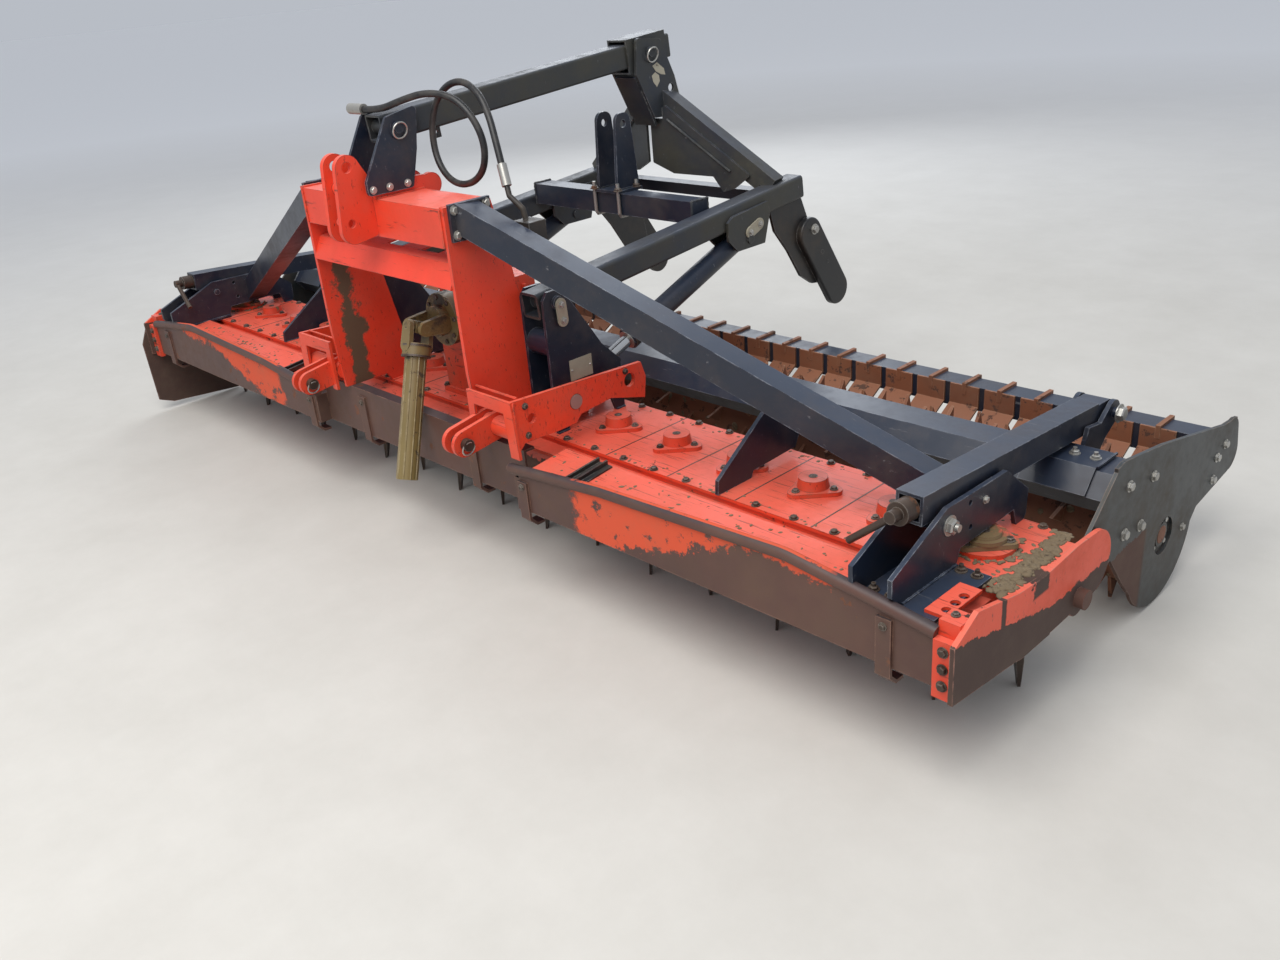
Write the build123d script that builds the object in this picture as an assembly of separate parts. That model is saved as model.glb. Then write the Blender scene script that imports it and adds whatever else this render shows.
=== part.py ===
"""A four metre power harrow with a packer roller and a rear seed drill hitch.

Millimetres. X runs across the machine, Y to the rear and Z up. Y = 0 is the
line of the rotors and Z = 0 is the ground under the tines and the roller.
Every solid is drawn in that frame and moved once, at the end, so that the
origin lies under the middle of the whole machine.
"""
from build123d import *
from math import asin, atan2, cos, degrees, hypot, pi, radians, sin, tan
import os

os.makedirs("parts", exist_ok=True)

# Clearances
SHAFT_GAP = 0.05          # a turning shaft in its bore, on the radius
SIDE_GAP = 5              # beside a part that swings between two plates

# Rotors and the gear trough that carries them
ROTOR_COUNT = 16
ROTOR_PITCH = 250
TROUGH_END = 10           # the trough reaches this far past its last half pitch
TROUGH_HALF = ROTOR_PITCH * ROTOR_COUNT / 2 + TROUGH_END
TROUGH_DEEP = 330         # front to rear
TROUGH_CORNER = 90
TROUGH_BOTTOM = 225
TROUGH_TOP = 405
TROUGH_ROUND = 30         # lower edges
COVER_T = 10
COVER_LIP = 7             # the cover reaches this far past the trough
COVER_TOP = TROUGH_TOP + COVER_T
HOUSING_D = 150
HOUSING_DROP = 20
SHAFT_D = 50
SHAFT_TOP = 300
FLANGE_FRONT = -230       # small shelf in front of the trough
FLANGE_T = 10
FLANGE_TOP = 390
RING_D = 150              # raised ring under the cap at each end
RING_T = 12
CAP_TOP = 455
CAP_BOSS_D = 86
CAP_STEP_D = 110          # step below the boss of the two end caps
CAP_STEP_T = 9
CAP_BOLT_R = 58
CAP_LOBE_R = 22
CAP_FLANGE_T = 12
CAP_TURN = 15

HUB_D = 120
HUB_TOP = 200
HUB_T = 28
TINE_R = 95               # tine root from the shaft
TINE_TOP = 182
TINE_REST_TURN = 39
TINE_TIP_LAG = 28         # the tip trails the root

# Orange skin plates and pivot pins at both ends
SKIN_IN = TROUGH_HALF + 30
SKIN_T = 12
PIVOT_Y = 131
PIVOT_Z = 277
PIVOT_R = 25
PIVOT_END = TROUGH_HALF + 65
PIVOT_BOSS_R = 45
PIVOT_BOSS_IN = TROUGH_HALF - 60
PIVOT_BOSS_END = TROUGH_HALF + 6
SKIN_TOP_FRONT = -160     # strip that closes the gap between trough and skin
SKIN_TOP_REAR = 130

# Front shield, its tube and the sloping ledge
SHIELD_Y = -385           # front face of the side sheets
SHIELD_T = 8
SHIELD_LOW = 280
SHIELD_TUBE_R = 16
MID_Y = -340              # front face of the middle sheet
MID_HALF = 580
SHIELD_IN = MID_HALF + 20     # a short joiner closes the step
SHIELD_OUT = TROUGH_HALF - 20
SHIELD_TOP = 465          # crown of the arched tube
MID_LOW = 275
MID_TOP = 446
MID_LIP = 40
RIB_T = 8
RIB_WIDE = 40
RIB_LOW = 240
LEDGE_IN = 640
LEDGE_T = 8
STRIP_WIDE = 55           # punched strip behind the shield's outer end
STRIP_FRONT = -345
STRIP_REAR = -205
STRIP_T = 8
STRIP_HOLE_R = 11
STRIP_HOLE_EDGE = 17      # hole middles from the strip's outer edge

# Headstock
HEAD_IN = 385
HEAD_T = 14
HEAD_OUT = HEAD_IN + HEAD_T
BEAM_FRONT = -372
BEAM_REAR = -200
BEAM_TOP = 1137
BEAM_HIGH = 112
BEAM_LOW = BEAM_TOP - BEAM_HIGH
SHELF_T = 6
CLEVIS_IN = 25
CLEVIS_T = 18
SADDLE_T = 17
SADDLE_HIGH = 52
BRACKET_T = 10

# Lower hitch
LOWER_X = 449
LOWER_Y = -469
LOWER_Z = 488
LOWER_PIN_R = 18.5
LOWER_PIN_HALF = 50
LOWER_GAP = 32            # between the two clevis plates
LOWER_T = 15
CROSS_R = 30
CROSS_Y = -345
CROSS_Z = 505
SIDE_X = 593
SIDE_T = 14

# Braces, gussets and spindle brackets
BRACE_SIDE = 80
BRACE_TOP_Y = -300
BRACE_TOP_Z = 1103
BRACE_LOW_Y = 10
BRACE_LOW_Z = 514
GUSSET_X = 1190
GUSSET_T = 12
LINK_PLATE_T = 12
LINK_GAP = 89             # between the two bracket plates
LINK_IN = TROUGH_HALF - 241                      # inner plate, inner face
LINK_OUT = LINK_IN + LINK_PLATE_T + LINK_GAP     # outer plate, inner face
LINK_X = LINK_IN + LINK_PLATE_T + LINK_GAP / 2   # middle of the spindle
LINK_BASE_OUT = TROUGH_HALF - 40
LINK_BASE_FRONT = -362
LINK_BASE_REAR = -130
LINK_BASE_T = 10
LINK_PIN_Y = -168
LINK_PIN_Z = 540
LINK_PIN_R = 12
LINK_SIDE = 70
LINK_WALL = 8
LINK_RISE = 52            # tube axis above the pin
EYE_Y = 635
EYE_Z = 538
EYE_R = 32
EYE_WIDE = 70
EYE_PIN_R = 14
EYE_FREE = 6              # open pivot, clearance on the radius
BEAM_SADDLE_IN = 45.5     # the saddle plate's edges, from the spindle
BEAM_SADDLE_OUT = 134.5
BEAM_SADDLE_T = 8

# Roller frame and roller
AXLE_Y = 660
AXLE_Z = 210
DRUM_R = 150
TOOTH_TIP_R = 210
TOOTH_T = 10
TOOTH_COUNT = 10
TOOTH_BASE = 62
TOOTH_ROOT = 10           # each tooth starts this deep in the drum
PLATE_IN = TROUGH_HALF + 12   # end plates swing beside the pivot bosses
PLATE_T = 10
ROLLER_HALF = PLATE_IN - 22
RING_COUNT = 32
RING_PITCH = 2 * ROLLER_HALF / RING_COUNT
STUB_R = 25
END_ROUND = (655, 200, 195)   # lower curve of the end plate
END_OPENING_R = 54        # round opening that shows the roller's bearing
BEARING_R = 68
BEARING_IN = ROLLER_HALF + 6
BEAM_Y = 425
BEAM_Z = 435
HEX_HALF = 100
HEX_FLAT = 53
HEX_HIGH = 55
SCRAPER_Y = 1000
SCRAPER_Z = 340
SCRAPER_SIDE = 80
BLADE_SIDE = 5.5          # between a blade and the rings beside it
BLADE_WIDE = RING_PITCH - TOOTH_T - 2 * BLADE_SIDE
BLADE_T = 7
BLADE_GAP = 9
STRAP_WIDE = 14           # strap that hooks each blade over the beam
STRAP_T = 9

# Rear hitch
ARM_X = 455
ARM_SIDE = 80
ARM_WALL = 8
ARM_ROUND = 12
ARM_PIVOT_Y = -98
ARM_PIVOT_Z = 820
ARM_RISE = 5.55
ARM_FRONT = -155
ARM_REAR = 1090
BOX_T = 10
BOX_FRONT = -150
BOX_REAR = 134
ARM_PIN_R = 20
STAY_Y = -265
STAY_Z = 1327
STAY_PIN_R = 16
STAY_SIDE = 80
STAY_WALL = 6
STAY_ROUND = 9
HOOK_IN = 463
HOOK_T = 12
CLAW_T = 24
STAY_FRONT = -300
STAY_END = 920
MAST_Y = 800
MAST_Z = 1419
MAST_IN = 52
MAST_T = 10
SLEEVE_WALL = 6
SLEEVE_SIDE_GAP = 1
SLEEVE_GAP = 11           # above and below the stay, for its swing
SLEEVE_LONG = 190
ROD_Y = -75
ROD_Z = 495
RAM_Y = 783
RAM_Z = 815
BARREL_R = 35
BARREL_LONG = 600
ROD_R = 20
RAM_PIN_R = 15
ROD_FREE = 6              # the rod's eye may drift this far round its pin

# Drive
GEARBOX_HALF = 120
GEAR_Z = 715
JOINT_Y = -268
JOINT_Z = 705
FOOT = (100, -465, 265)
TUBE_R = 33
EAR_IN = 30               # yoke of the shaft, from the joint's middle
EAR_OUT = 46
CLUTCH_EAR_IN = 35        # wider yoke on the clutch
CLUTCH_EAR_OUT = 51
CROSS_PIN_R = 12
CROSS_BODY = 38

# Hydraulic hose, its route from the front coupling round one coil to the valve
HOSE_R = 10
VALVE_Y = -216
COUPLING_LONG = 62
HOSE = [
    (-50, -295, 1378.5), (35, -295, 1378.5), (115, -268, 1404), (200, -236, 1424),
    (290, -210, 1412), (355, -198, 1360), (388, -192, 1290), (372, -190, 1218),
    (310, -186, 1172), (225, -180, 1155), (150, -172, 1172), (96, -164, 1222),
    (80, -156, 1300), (104, -148, 1376), (166, -142, 1430), (250, -142, 1446),
    (330, -150, 1418), (386, -164, 1360), (424, -180, 1295), (451, -190, 1232),
]

nodes = {}


def outline(points, corner=0):
    """Closed outline, drawn the same way round whatever the order given"""
    ends = points[1:] + points[:1]
    turn = sum(a[0] * b[1] - b[0] * a[1] for a, b in zip(points, ends))
    face = Polygon(*(points if turn > 0 else points[::-1]), align=None)
    return fillet(face.vertices(), corner) if corner else face


def lobes(*circles):
    """Outline stretched round circles given as (y, z, radius)"""
    edges = [(Pos(y, z) * Circle(r)).edge() for y, z, r in circles]
    return make_hull(edges)


def across(face, x0, x1):
    """A side-view outline made into a plate from x0 to x1"""
    return extrude(Plane.YZ.offset(x0) * face, amount=x1 - x0)


def block(x0, x1, y0, y1, z0, z1):
    """Box between two corners"""
    middle = Pos((x0 + x1) / 2, (y0 + y1) / 2, (z0 + z1) / 2)
    return middle * Box(x1 - x0, y1 - y0, z1 - z0)


def pin(x0, x1, y, z, radius):
    """Round bar along X"""
    return across(Pos(y, z) * Circle(radius), x0, x1)


def rod(start, end, radius):
    """Round bar between two points"""
    run = Vector(*end) - Vector(*start)
    return extrude(Plane(origin=start, z_dir=run) * Circle(radius), amount=run.length)


def post(x, y, z0, z1, radius):
    """Upright round bar"""
    return Pos(x, y, (z0 + z1) / 2) * Cylinder(radius, z1 - z0)


def bar(start, end, wide, high):
    """Square bar between two points, with its sides upright"""
    run = Vector(*end) - Vector(*start)
    side = run.cross(Vector(0, 0, 1)).normalized()
    plane = Plane(origin=start, x_dir=side, z_dir=run)
    return extrude(plane * Rectangle(wide, high), amount=run.length)


def folded(points, thick):
    """Outline of a sheet folded along the points, thick to the left of them"""
    offset = []
    for i, (y, z) in enumerate(points):
        before = points[max(i - 1, 0)], points[max(i, 1)]
        after = points[min(i, len(points) - 2)], points[min(i + 1, len(points) - 1)]
        a, b = (atan2(q[1] - p[1], q[0] - p[0]) for p, q in (before, after))
        half = (b - a) / 2
        reach = thick / cos(half)
        offset.append((y - reach * sin(a + half), z + reach * cos(a + half)))
    return outline(points + offset[::-1])


def square_tube(side, wall, corner, start, end):
    """Square tube along Y, open at both ends"""
    wide = side - 2 * wall
    face = RectangleRounded(side, side, corner)
    face -= RectangleRounded(wide, wide, max(corner - wall, 1))
    return extrude(Plane.XZ.offset(-start) * face, amount=start - end)


def pair(shape):
    """The shape and its mirror image on the other side"""
    return [shape, mirror(shape, about=Plane.YZ)]


def keep(name, *shapes):
    """Store a node as a flat list of solids"""
    solids = []
    for shape in shapes:
        for item in shape if isinstance(shape, list) else [shape]:
            solids.extend(item.solids())
    nodes[name] = solids


rotor_x = [ROTOR_PITCH * (n - (ROTOR_COUNT - 1) / 2) for n in range(ROTOR_COUNT)]

# Gear trough: a rounded box with bearing housings below and a shelf in front
trough = extrude(
    Plane.XY.offset(TROUGH_BOTTOM)
    * RectangleRounded(2 * TROUGH_HALF, TROUGH_DEEP, TROUGH_CORNER),
    amount=TROUGH_TOP - TROUGH_BOTTOM,
)
trough = fillet(trough.edges().group_by(Axis.Z)[0], TROUGH_ROUND)
trough += block(
    -SHIELD_OUT, SHIELD_OUT, FLANGE_FRONT, -TROUGH_DEEP / 2 + 1,
    FLANGE_TOP - FLANGE_T, FLANGE_TOP,
)
for side in (-1, 1):
    near, far = sorted((side * PIVOT_BOSS_IN, side * PIVOT_BOSS_END))
    trough += pin(near, far, PIVOT_Y, PIVOT_Z, PIVOT_BOSS_R)
    near, far = sorted((side * PIVOT_BOSS_IN, side * PIVOT_END))
    trough += pin(near, far, PIVOT_Y, PIVOT_Z, PIVOT_R)
housings = [
    post(x, 0, TROUGH_BOTTOM - HOUSING_DROP, TROUGH_BOTTOM + 1, HOUSING_D / 2)
    for x in rotor_x
]
bores = [
    post(x, 0, TROUGH_BOTTOM - HOUSING_DROP, SHAFT_TOP + SIDE_GAP, SHAFT_D / 2 + SHAFT_GAP)
    for x in rotor_x
]
trough = trough + housings - bores
keep("gear_trough", trough)

# Cover plate, with a raised ring under the cap at each end
cover_deep = TROUGH_DEEP + 2 * COVER_LIP
cover = extrude(
    Plane.XY.offset(TROUGH_TOP)
    * RectangleRounded(2 * TROUGH_HALF, cover_deep, TROUGH_CORNER + COVER_LIP),
    amount=COVER_T,
)
for x in (rotor_x[0], rotor_x[-1]):
    cover += post(x, 0, COVER_TOP - 1, COVER_TOP + RING_T, RING_D / 2)
keep("trough_cover", cover)


def bearing_cap(x, base, stepped):
    """Three-lobed cap with a boss, on the cover over each rotor"""
    turns = [radians(CAP_TURN + 120 * k) for k in range(3)]
    corners = [(CAP_BOLT_R * cos(a), CAP_BOLT_R * sin(a), CAP_LOBE_R) for a in turns]
    flange = extrude(lobes(*corners), amount=CAP_FLANGE_T)
    boss = Pos(0, 0, CAP_FLANGE_T) * Cone(
        CAP_BOSS_D / 2, CAP_BOSS_D / 2 - 4, CAP_TOP - base - CAP_FLANGE_T,
        align=(Align.CENTER, Align.CENTER, Align.MIN),
    )
    if stepped:
        boss += post(0, 0, CAP_FLANGE_T - 1, CAP_FLANGE_T + CAP_STEP_T, CAP_STEP_D / 2)
    return Pos(x, 0, base) * (flange + boss)


caps = []
for x in rotor_x:
    if abs(x) < GEARBOX_HALF + CAP_BOLT_R:
        continue
    ended = x in (rotor_x[0], rotor_x[-1])
    caps.append(bearing_cap(x, COVER_TOP + (RING_T if ended else 0), ended))
keep("bearing_caps", caps)

# Rotors: a hub under its shaft with two trailing knife tines
tine_sections = [
    # height, radius, trail, wide, thick
    (TINE_TOP, TINE_R, 0, 60, 20),
    (95, TINE_R + 3, 8, 52, 18),
    (0, TINE_R + 12, TINE_TIP_LAG, 22, 8),
]


def tine(hand):
    """One knife, bent back against its turning direction"""
    faces = []
    for z, reach, trail, wide, thick in tine_sections:
        faces.append(Pos(reach, hand * trail, z) * Rectangle(thick, wide))
    return loft(faces, ruled=True)


def rotor(hand):
    """Shaft, hub and both tines as one forging, standing on Z = 0"""
    shaft = post(0, 0, HUB_TOP - HUB_T, SHAFT_TOP, SHAFT_D / 2)
    arm = extrude(
        Plane.XY.offset(HUB_TOP - HUB_T) * lobes((0, 0, HUB_D / 2), (-TINE_R, 0, 30), (TINE_R, 0, 30)),
        amount=HUB_T,
    )
    knife = tine(hand)
    return shaft + arm + knife + Rot(0, 0, 180) * knife


for index, x in enumerate(rotor_x):
    hand = 1 if index % 2 else -1
    turn = TINE_REST_TURN if index % 2 else 90 - TINE_REST_TURN
    keep(f"rotor_{index + 1:02d}", Pos(x, 0, 0) * Rot(0, 0, turn) * rotor(hand))

# End skins, open round the pivot pins of the roller frame
skin_face = lobes((200, 335, 86), (110, 340, 85), (-120, 325, 85)) + outline([
    (-415, 275), (-415, 415), (-328, 462), (-160, 425), (0, 410), (0, 240), (-102, 240),
])
skin_face += lobes((PIVOT_Y, PIVOT_Z, PIVOT_BOSS_R + 3), (PIVOT_Y + 20, PIVOT_Z + 70, 60))
skin = across(skin_face, SKIN_IN, SKIN_IN + SKIN_T)
skin -= pin(SKIN_IN, SKIN_IN + SKIN_T, PIVOT_Y, PIVOT_Z, PIVOT_R)
skin += block(TROUGH_HALF, SKIN_IN + 1, SKIN_TOP_FRONT, SKIN_TOP_REAR, COVER_TOP - COVER_T, COVER_TOP)
keep("end_skins", pair(skin))

# Corner brackets: spacer, front plate and the strip that ties the shield
spacer = block(TROUGH_HALF, SKIN_IN, -75, 45, 250, TROUGH_TOP - 5)
front_plate = block(SHIELD_OUT, SKIN_IN, SHIELD_Y - 12, SHIELD_Y + SHIELD_T, 265, 408)
strip_low = COVER_TOP + LINK_BASE_T
strip = block(
    SHIELD_OUT - STRIP_WIDE, SHIELD_OUT, STRIP_FRONT, STRIP_REAR, strip_low, strip_low + STRIP_T,
)
for y in (STRIP_FRONT + 25, STRIP_FRONT + 60, STRIP_FRONT + 95):
    strip -= post(SHIELD_OUT - STRIP_HOLE_EDGE, y, strip_low, strip_low + STRIP_T, STRIP_HOLE_R)
strip += block(SHIELD_OUT, SKIN_IN, SHIELD_Y + SHIELD_T, STRIP_FRONT + 24, 400, 446)

# Front shield: two arched side sheets, a set-back middle sheet and ribs
arch = [
    (SHIELD_IN - 40, SHIELD_TOP - 65), (SHIELD_OUT - 1040, SHIELD_TOP - 27),
    (SHIELD_OUT - 400, SHIELD_TOP), (SHIELD_OUT - 140, SHIELD_TOP - 31),
    (SHIELD_OUT, SHIELD_TOP - 51),
]
tube_y = SHIELD_Y + SHIELD_T / 2
tube_path = Plane.XZ.offset(-tube_y) * FilletPolyline(*arch, radius=300)
tube_start = Plane(origin=tube_path @ 0, z_dir=tube_path % 0)
shield_tube = sweep(tube_start * Circle(SHIELD_TUBE_R), path=tube_path)
sheet_face = outline(
    [(SHIELD_IN, SHIELD_LOW), (SHIELD_IN, SHIELD_TOP - 61)] + arch[1:] + [(SHIELD_OUT, SHIELD_LOW)]
)
side_sheet = extrude(Plane.XZ.offset(-SHIELD_Y) * sheet_face, amount=-SHIELD_T)
side_sheet -= shield_tube
front_plate -= shield_tube
strip -= shield_tube
keep("corner_brackets", pair(spacer), pair(front_plate), pair(strip))

mid_sheet = block(-MID_HALF, MID_HALF, MID_Y, MID_Y + SHIELD_T, MID_LOW, MID_TOP)
mid_sheet += block(-MID_HALF, MID_HALF, MID_Y + SHIELD_T, MID_Y + MID_LIP, MID_TOP - 8, MID_TOP)
joiner = block(MID_HALF, SHIELD_IN, SHIELD_Y, MID_Y + SHIELD_T, MID_LOW, 380)


def rib(x, y, top):
    """Upright strap on the shield's face with a foot hooked under it"""
    path = [(y, top), (y, RIB_LOW + 20), (y + 20, RIB_LOW), (y + 45, RIB_LOW)]
    return across(folded(path, -RIB_T), x - RIB_WIDE / 2, x + RIB_WIDE / 2)


ribs = [
    rib(MID_HALF - 260, MID_Y, MID_TOP - 26), rib(SHIELD_OUT - 125, SHIELD_Y, SHIELD_TOP - 60),
    rib(SHIELD_IN + 20, SHIELD_Y, SHIELD_TOP - 90),
]
shield = [mid_sheet, *pair(side_sheet + shield_tube), *pair(joiner)]
keep("front_shield", shield, *[pair(r) for r in ribs])

# Sloping ledge between the shield and the trough
ledge_path = [(-200, FLANGE_TOP), (-216, FLANGE_TOP), (-235, 420), (SHIELD_Y + SHIELD_T, 405)]
ledge = across(folded(ledge_path, -LEDGE_T), LEDGE_IN, LINK_IN - SIDE_GAP)
ledge = ledge - shield_tube - side_sheet
keep("front_ledge", pair(ledge.solids().sort_by(SortBy.VOLUME)[-1]))

# Side deflector, left on the far end only
deflector_face = outline([
    (-398, 419), (-442, 324), (-436, 57), (-373, 30), (-59, 4), (-60, 189), (-13, 274), (-40, 395),
])
deflector = across(deflector_face, -SKIN_IN - SKIN_T - 8, -SKIN_IN - SKIN_T)
keep("side_deflector", deflector)

# Headstock: two tall plates, a box beam between their tops and a folded shelf
head_face = outline([
    (-371, BEAM_TOP + 4), (-369, 654), (-355, MID_TOP), (-190, MID_TOP), (-172, COVER_TOP),
    (-90, COVER_TOP), (-90, 560), (-186, BEAM_TOP - 89), (-207, BEAM_TOP + 1),
])
head_plate = across(head_face, HEAD_IN, HEAD_OUT)
keep("headstock_plates", pair(head_plate))
beam = block(-HEAD_IN, HEAD_IN, BEAM_FRONT, BEAM_REAR, BEAM_LOW, BEAM_TOP)
shelf_path = [(BEAM_FRONT, BEAM_LOW - 120), (-340, BEAM_LOW - 55), (-215, BEAM_LOW - 40)]
shelf = across(folded(shelf_path, SHELF_T), -HEAD_IN, HEAD_IN)
for x in (-190, 0, 190):
    shelf -= block(x - 45, x + 45, -300, -250, BEAM_LOW - 75, BEAM_LOW - 25)
keep("headstock_beam", beam, shelf)

# Top link clevis with its saddle strips and rear lugs
clevis_face = lobes(
    (-438, BEAM_TOP + 98, 40), (-450, BEAM_TOP - 77, 42), (-384, BEAM_TOP - 97, 12),
    (-384, BEAM_TOP + 58, 12),
)
clevis = across(clevis_face, CLEVIS_IN, CLEVIS_IN + CLEVIS_T)
top_hole = (-440, BEAM_TOP + 102, 16)
low_hole = (-455, BEAM_TOP - 57, 13)
for y, z, r in (top_hole, low_hole):
    clevis -= pin(CLEVIS_IN, CLEVIS_IN + CLEVIS_T, y, z, r)
bush = pin(-CLEVIS_IN, CLEVIS_IN, -440, BEAM_TOP + 39, 22)
saddle_in = CLEVIS_IN + CLEVIS_T
saddle_out = saddle_in + SADDLE_T
saddle_face = lobes((-170, BEAM_TOP + 8, 35), (-194, BEAM_TOP - 67, 6)) + outline([
    (BEAM_FRONT, BEAM_TOP), (BEAM_FRONT, BEAM_TOP + SADDLE_HIGH), (-180, BEAM_TOP + 40),
    (-180, BEAM_TOP),
])
saddle = across(saddle_face, saddle_in, saddle_out)
saddle -= block(saddle_in, saddle_out, BEAM_FRONT, BEAM_REAR, BEAM_LOW, BEAM_TOP)
keep("top_link_clevis", pair(clevis + saddle.solids().sort_by(SortBy.VOLUME)[-1]), bush)

# Navy brackets of the top stay, with the pin through both
bracket_face = outline([
    (-400, BEAM_TOP + 13), (-400, BEAM_TOP + 54), (-301, STAY_Z + 34), (-190, STAY_Z + 55),
    (-210, STAY_Z - 68), (-242, BEAM_TOP + 13),
], corner=12)
bracket = across(bracket_face, saddle_out, saddle_out + BRACKET_T)
stay_pin_half = saddle_out + BRACKET_T + 8
stay_pin = pin(-stay_pin_half, stay_pin_half, STAY_Y, STAY_Z, STAY_PIN_R)
stay_brackets = pair(bracket)
keep("stay_brackets", stay_brackets[0] + stay_brackets[1] + stay_pin)

# Lower hitch: clevis plates, cross tube, portal straps and side plates
lower_face = lobes((LOWER_Y, LOWER_Z, 40), (CROSS_Y, CROSS_Z, 42))
lower = []
for gap_side in (-1, 1):
    inner = LOWER_X + gap_side * (LOWER_GAP / 2 + LOWER_T / 2) - LOWER_T / 2
    cheek = across(lower_face, inner, inner + LOWER_T)
    cheek -= pin(inner, inner + LOWER_T, LOWER_Y, LOWER_Z, LOWER_PIN_R)
    cheek -= pin(inner, inner + LOWER_T, CROSS_Y, CROSS_Z, CROSS_R)
    lower.append(cheek)
cross_tube = pin(HEAD_OUT, SIDE_X, CROSS_Y, CROSS_Z, CROSS_R)
side_face = outline([
    (-376, 615), (129, 585), (146, 534), (135, 466), (-6, 508), (-129, 498), (-154, 475),
    (-232, 475), (-349, 480), (-376, 455),
])
side_plate = across(side_face, SIDE_X, SIDE_X + SIDE_T)
for y, z, r in ((-315, 546, 16), (-145, 542, 24), (76, 542, 22)):
    side_plate -= pin(SIDE_X, SIDE_X + SIDE_T, y, z, r)
portal = extrude(
    Plane.XZ.offset(376) * outline([
        (HEAD_OUT, 440), (HEAD_OUT, 615), (SIDE_X + SIDE_T, 615), (SIDE_X + SIDE_T + 12, 440),
        (SIDE_X + SIDE_T - 28, 440), (SIDE_X - 25, 575), (HEAD_OUT + 30, 575), (HEAD_OUT + 30, 440),
    ]),
    amount=10,
)
keep("lower_hitch", *[pair(c) for c in lower], pair(cross_tube), pair(side_plate), pair(portal))
lower_pin = pin(LOWER_X - LOWER_PIN_HALF, LOWER_X + LOWER_PIN_HALF, LOWER_Y, LOWER_Z, LOWER_PIN_R)
keep("lower_hitch_pins", pair(lower_pin))

# Braces from the headstock down to the spindle brackets
brace_top = (HEAD_OUT + 12, BRACE_TOP_Y, BRACE_TOP_Z)
brace_low = (LINK_IN, BRACE_LOW_Y, BRACE_LOW_Z)
run = Vector(*brace_low) - Vector(*brace_top)
step = run.normalized() * 100
brace = bar(Vector(*brace_top) - step, Vector(*brace_low) + step, BRACE_SIDE, BRACE_SIDE)
brace = brace & block(brace_top[0], brace_low[0], -TROUGH_HALF, TROUGH_HALF, 0, TROUGH_HALF)
brace_flange = block(
    HEAD_OUT, brace_top[0], BRACE_TOP_Y - 58, BRACE_TOP_Y + 83, BRACE_TOP_Z - 60, BRACE_TOP_Z + 45,
)
brace += brace_flange
keep("braces", pair(brace))
gusset_face = outline([
    (-176, COVER_TOP), (-172, 455), (90, 632), (172, 565), (180, 494), (150, 440), (-31, 434),
    (-41, COVER_TOP),
])
gusset = across(gusset_face, GUSSET_X - GUSSET_T / 2, GUSSET_X + GUSSET_T / 2)
keep("cover_gussets", pair(gusset))

# Spindle brackets on a base plate, open over the last bearing cap
base_plate = block(
    LINK_IN, LINK_BASE_OUT, LINK_BASE_FRONT, LINK_BASE_REAR, COVER_TOP, COVER_TOP + LINK_BASE_T,
)
link_face = outline([
    (-386, 455), (-386, 499), (-178, 586), (77, 580), (184, 493), (180, 430), (170, COVER_TOP),
    (134, COVER_TOP), (118, 462), (-118, 462), (-132, COVER_TOP + LINK_BASE_T), (-355, COVER_TOP + LINK_BASE_T),
])
link_brackets = []
for inner in (LINK_IN, LINK_OUT):
    plate = across(link_face, inner, inner + LINK_PLATE_T)
    for y, z in ((-84, 562), (-78, 499)):
        plate -= pin(inner, inner + LINK_PLATE_T, y, z, 7)
    link_brackets.append(plate)
link_bolt = pin(LINK_IN - 8, LINK_OUT + LINK_PLATE_T + 10, LINK_PIN_Y, LINK_PIN_Z, LINK_PIN_R)
bracket_weld = base_plate + link_brackets + link_bolt - shield_tube
keep("spindle_brackets", pair(bracket_weld))

# Support boxes of the rear hitch, with the pins of its arms and rams
box_in = ARM_X - ARM_SIDE / 2 - SIDE_GAP - BOX_T
box_out = ARM_X + ARM_SIDE / 2 + SIDE_GAP
box_face = outline([
    (BOX_FRONT, COVER_TOP), (BOX_FRONT, ARM_PIVOT_Z + 15), (-132, ARM_PIVOT_Z + 38),
    (-75, ARM_PIVOT_Z + 38), (60, 650), (BOX_REAR, 575),
    (BOX_REAR, COVER_TOP), (96, COVER_TOP), (80, 460), (-90, 460), (-104, COVER_TOP),
])
box_plates = []
for inner in (box_in, box_out):
    plate = across(box_face, inner, inner + BOX_T)
    box_plates.append(plate)
box_spacer = pin(box_in + BOX_T, box_out, -112, 690, 39)
arm_pin = pin(box_in - 6, box_out + BOX_T + 10, ARM_PIVOT_Y, ARM_PIVOT_Z, ARM_PIN_R)
ram_foot_pin = pin(box_in - 6, box_out + BOX_T + 6, ROD_Y, ROD_Z, RAM_PIN_R)
support = box_plates[0] + box_plates[1] + box_spacer + arm_pin + ram_foot_pin
keep("hitch_supports", pair(support))

# Gearbox on the cover, with the slip clutch and yoke on its input shaft
gearbox = block(-GEARBOX_HALF, GEARBOX_HALF, -110, 170, COVER_TOP, 640)
gearbox += block(-95, 95, -105, 150, 640, 800)
gearbox += rod((0, -100, GEAR_Z), (0, -130, GEAR_Z), 72)
gearbox += post(0, 30, 799, 818, 70)
for side in (-1, 1):
    gearbox += block(side * 60 - 7, side * 60 + 7, -112, -95, 640, 805)
    for y in (-60, 20, 100):
        x0, x1 = sorted((side * 90, side * 108))
        gearbox += block(x0, x1, y - 6, y + 6, 640, 770)
gearbox += block(-GEARBOX_HALF - 12, GEARBOX_HALF + 12, -122, 182, COVER_TOP, COVER_TOP + 18)
keep("gearbox", gearbox)
clutch = rod((0, -130, JOINT_Z), (0, -175, JOINT_Z), 88)
clutch += rod((0, -175, JOINT_Z), (0, -205, JOINT_Z), CLUTCH_EAR_OUT)
ears = []
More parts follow.
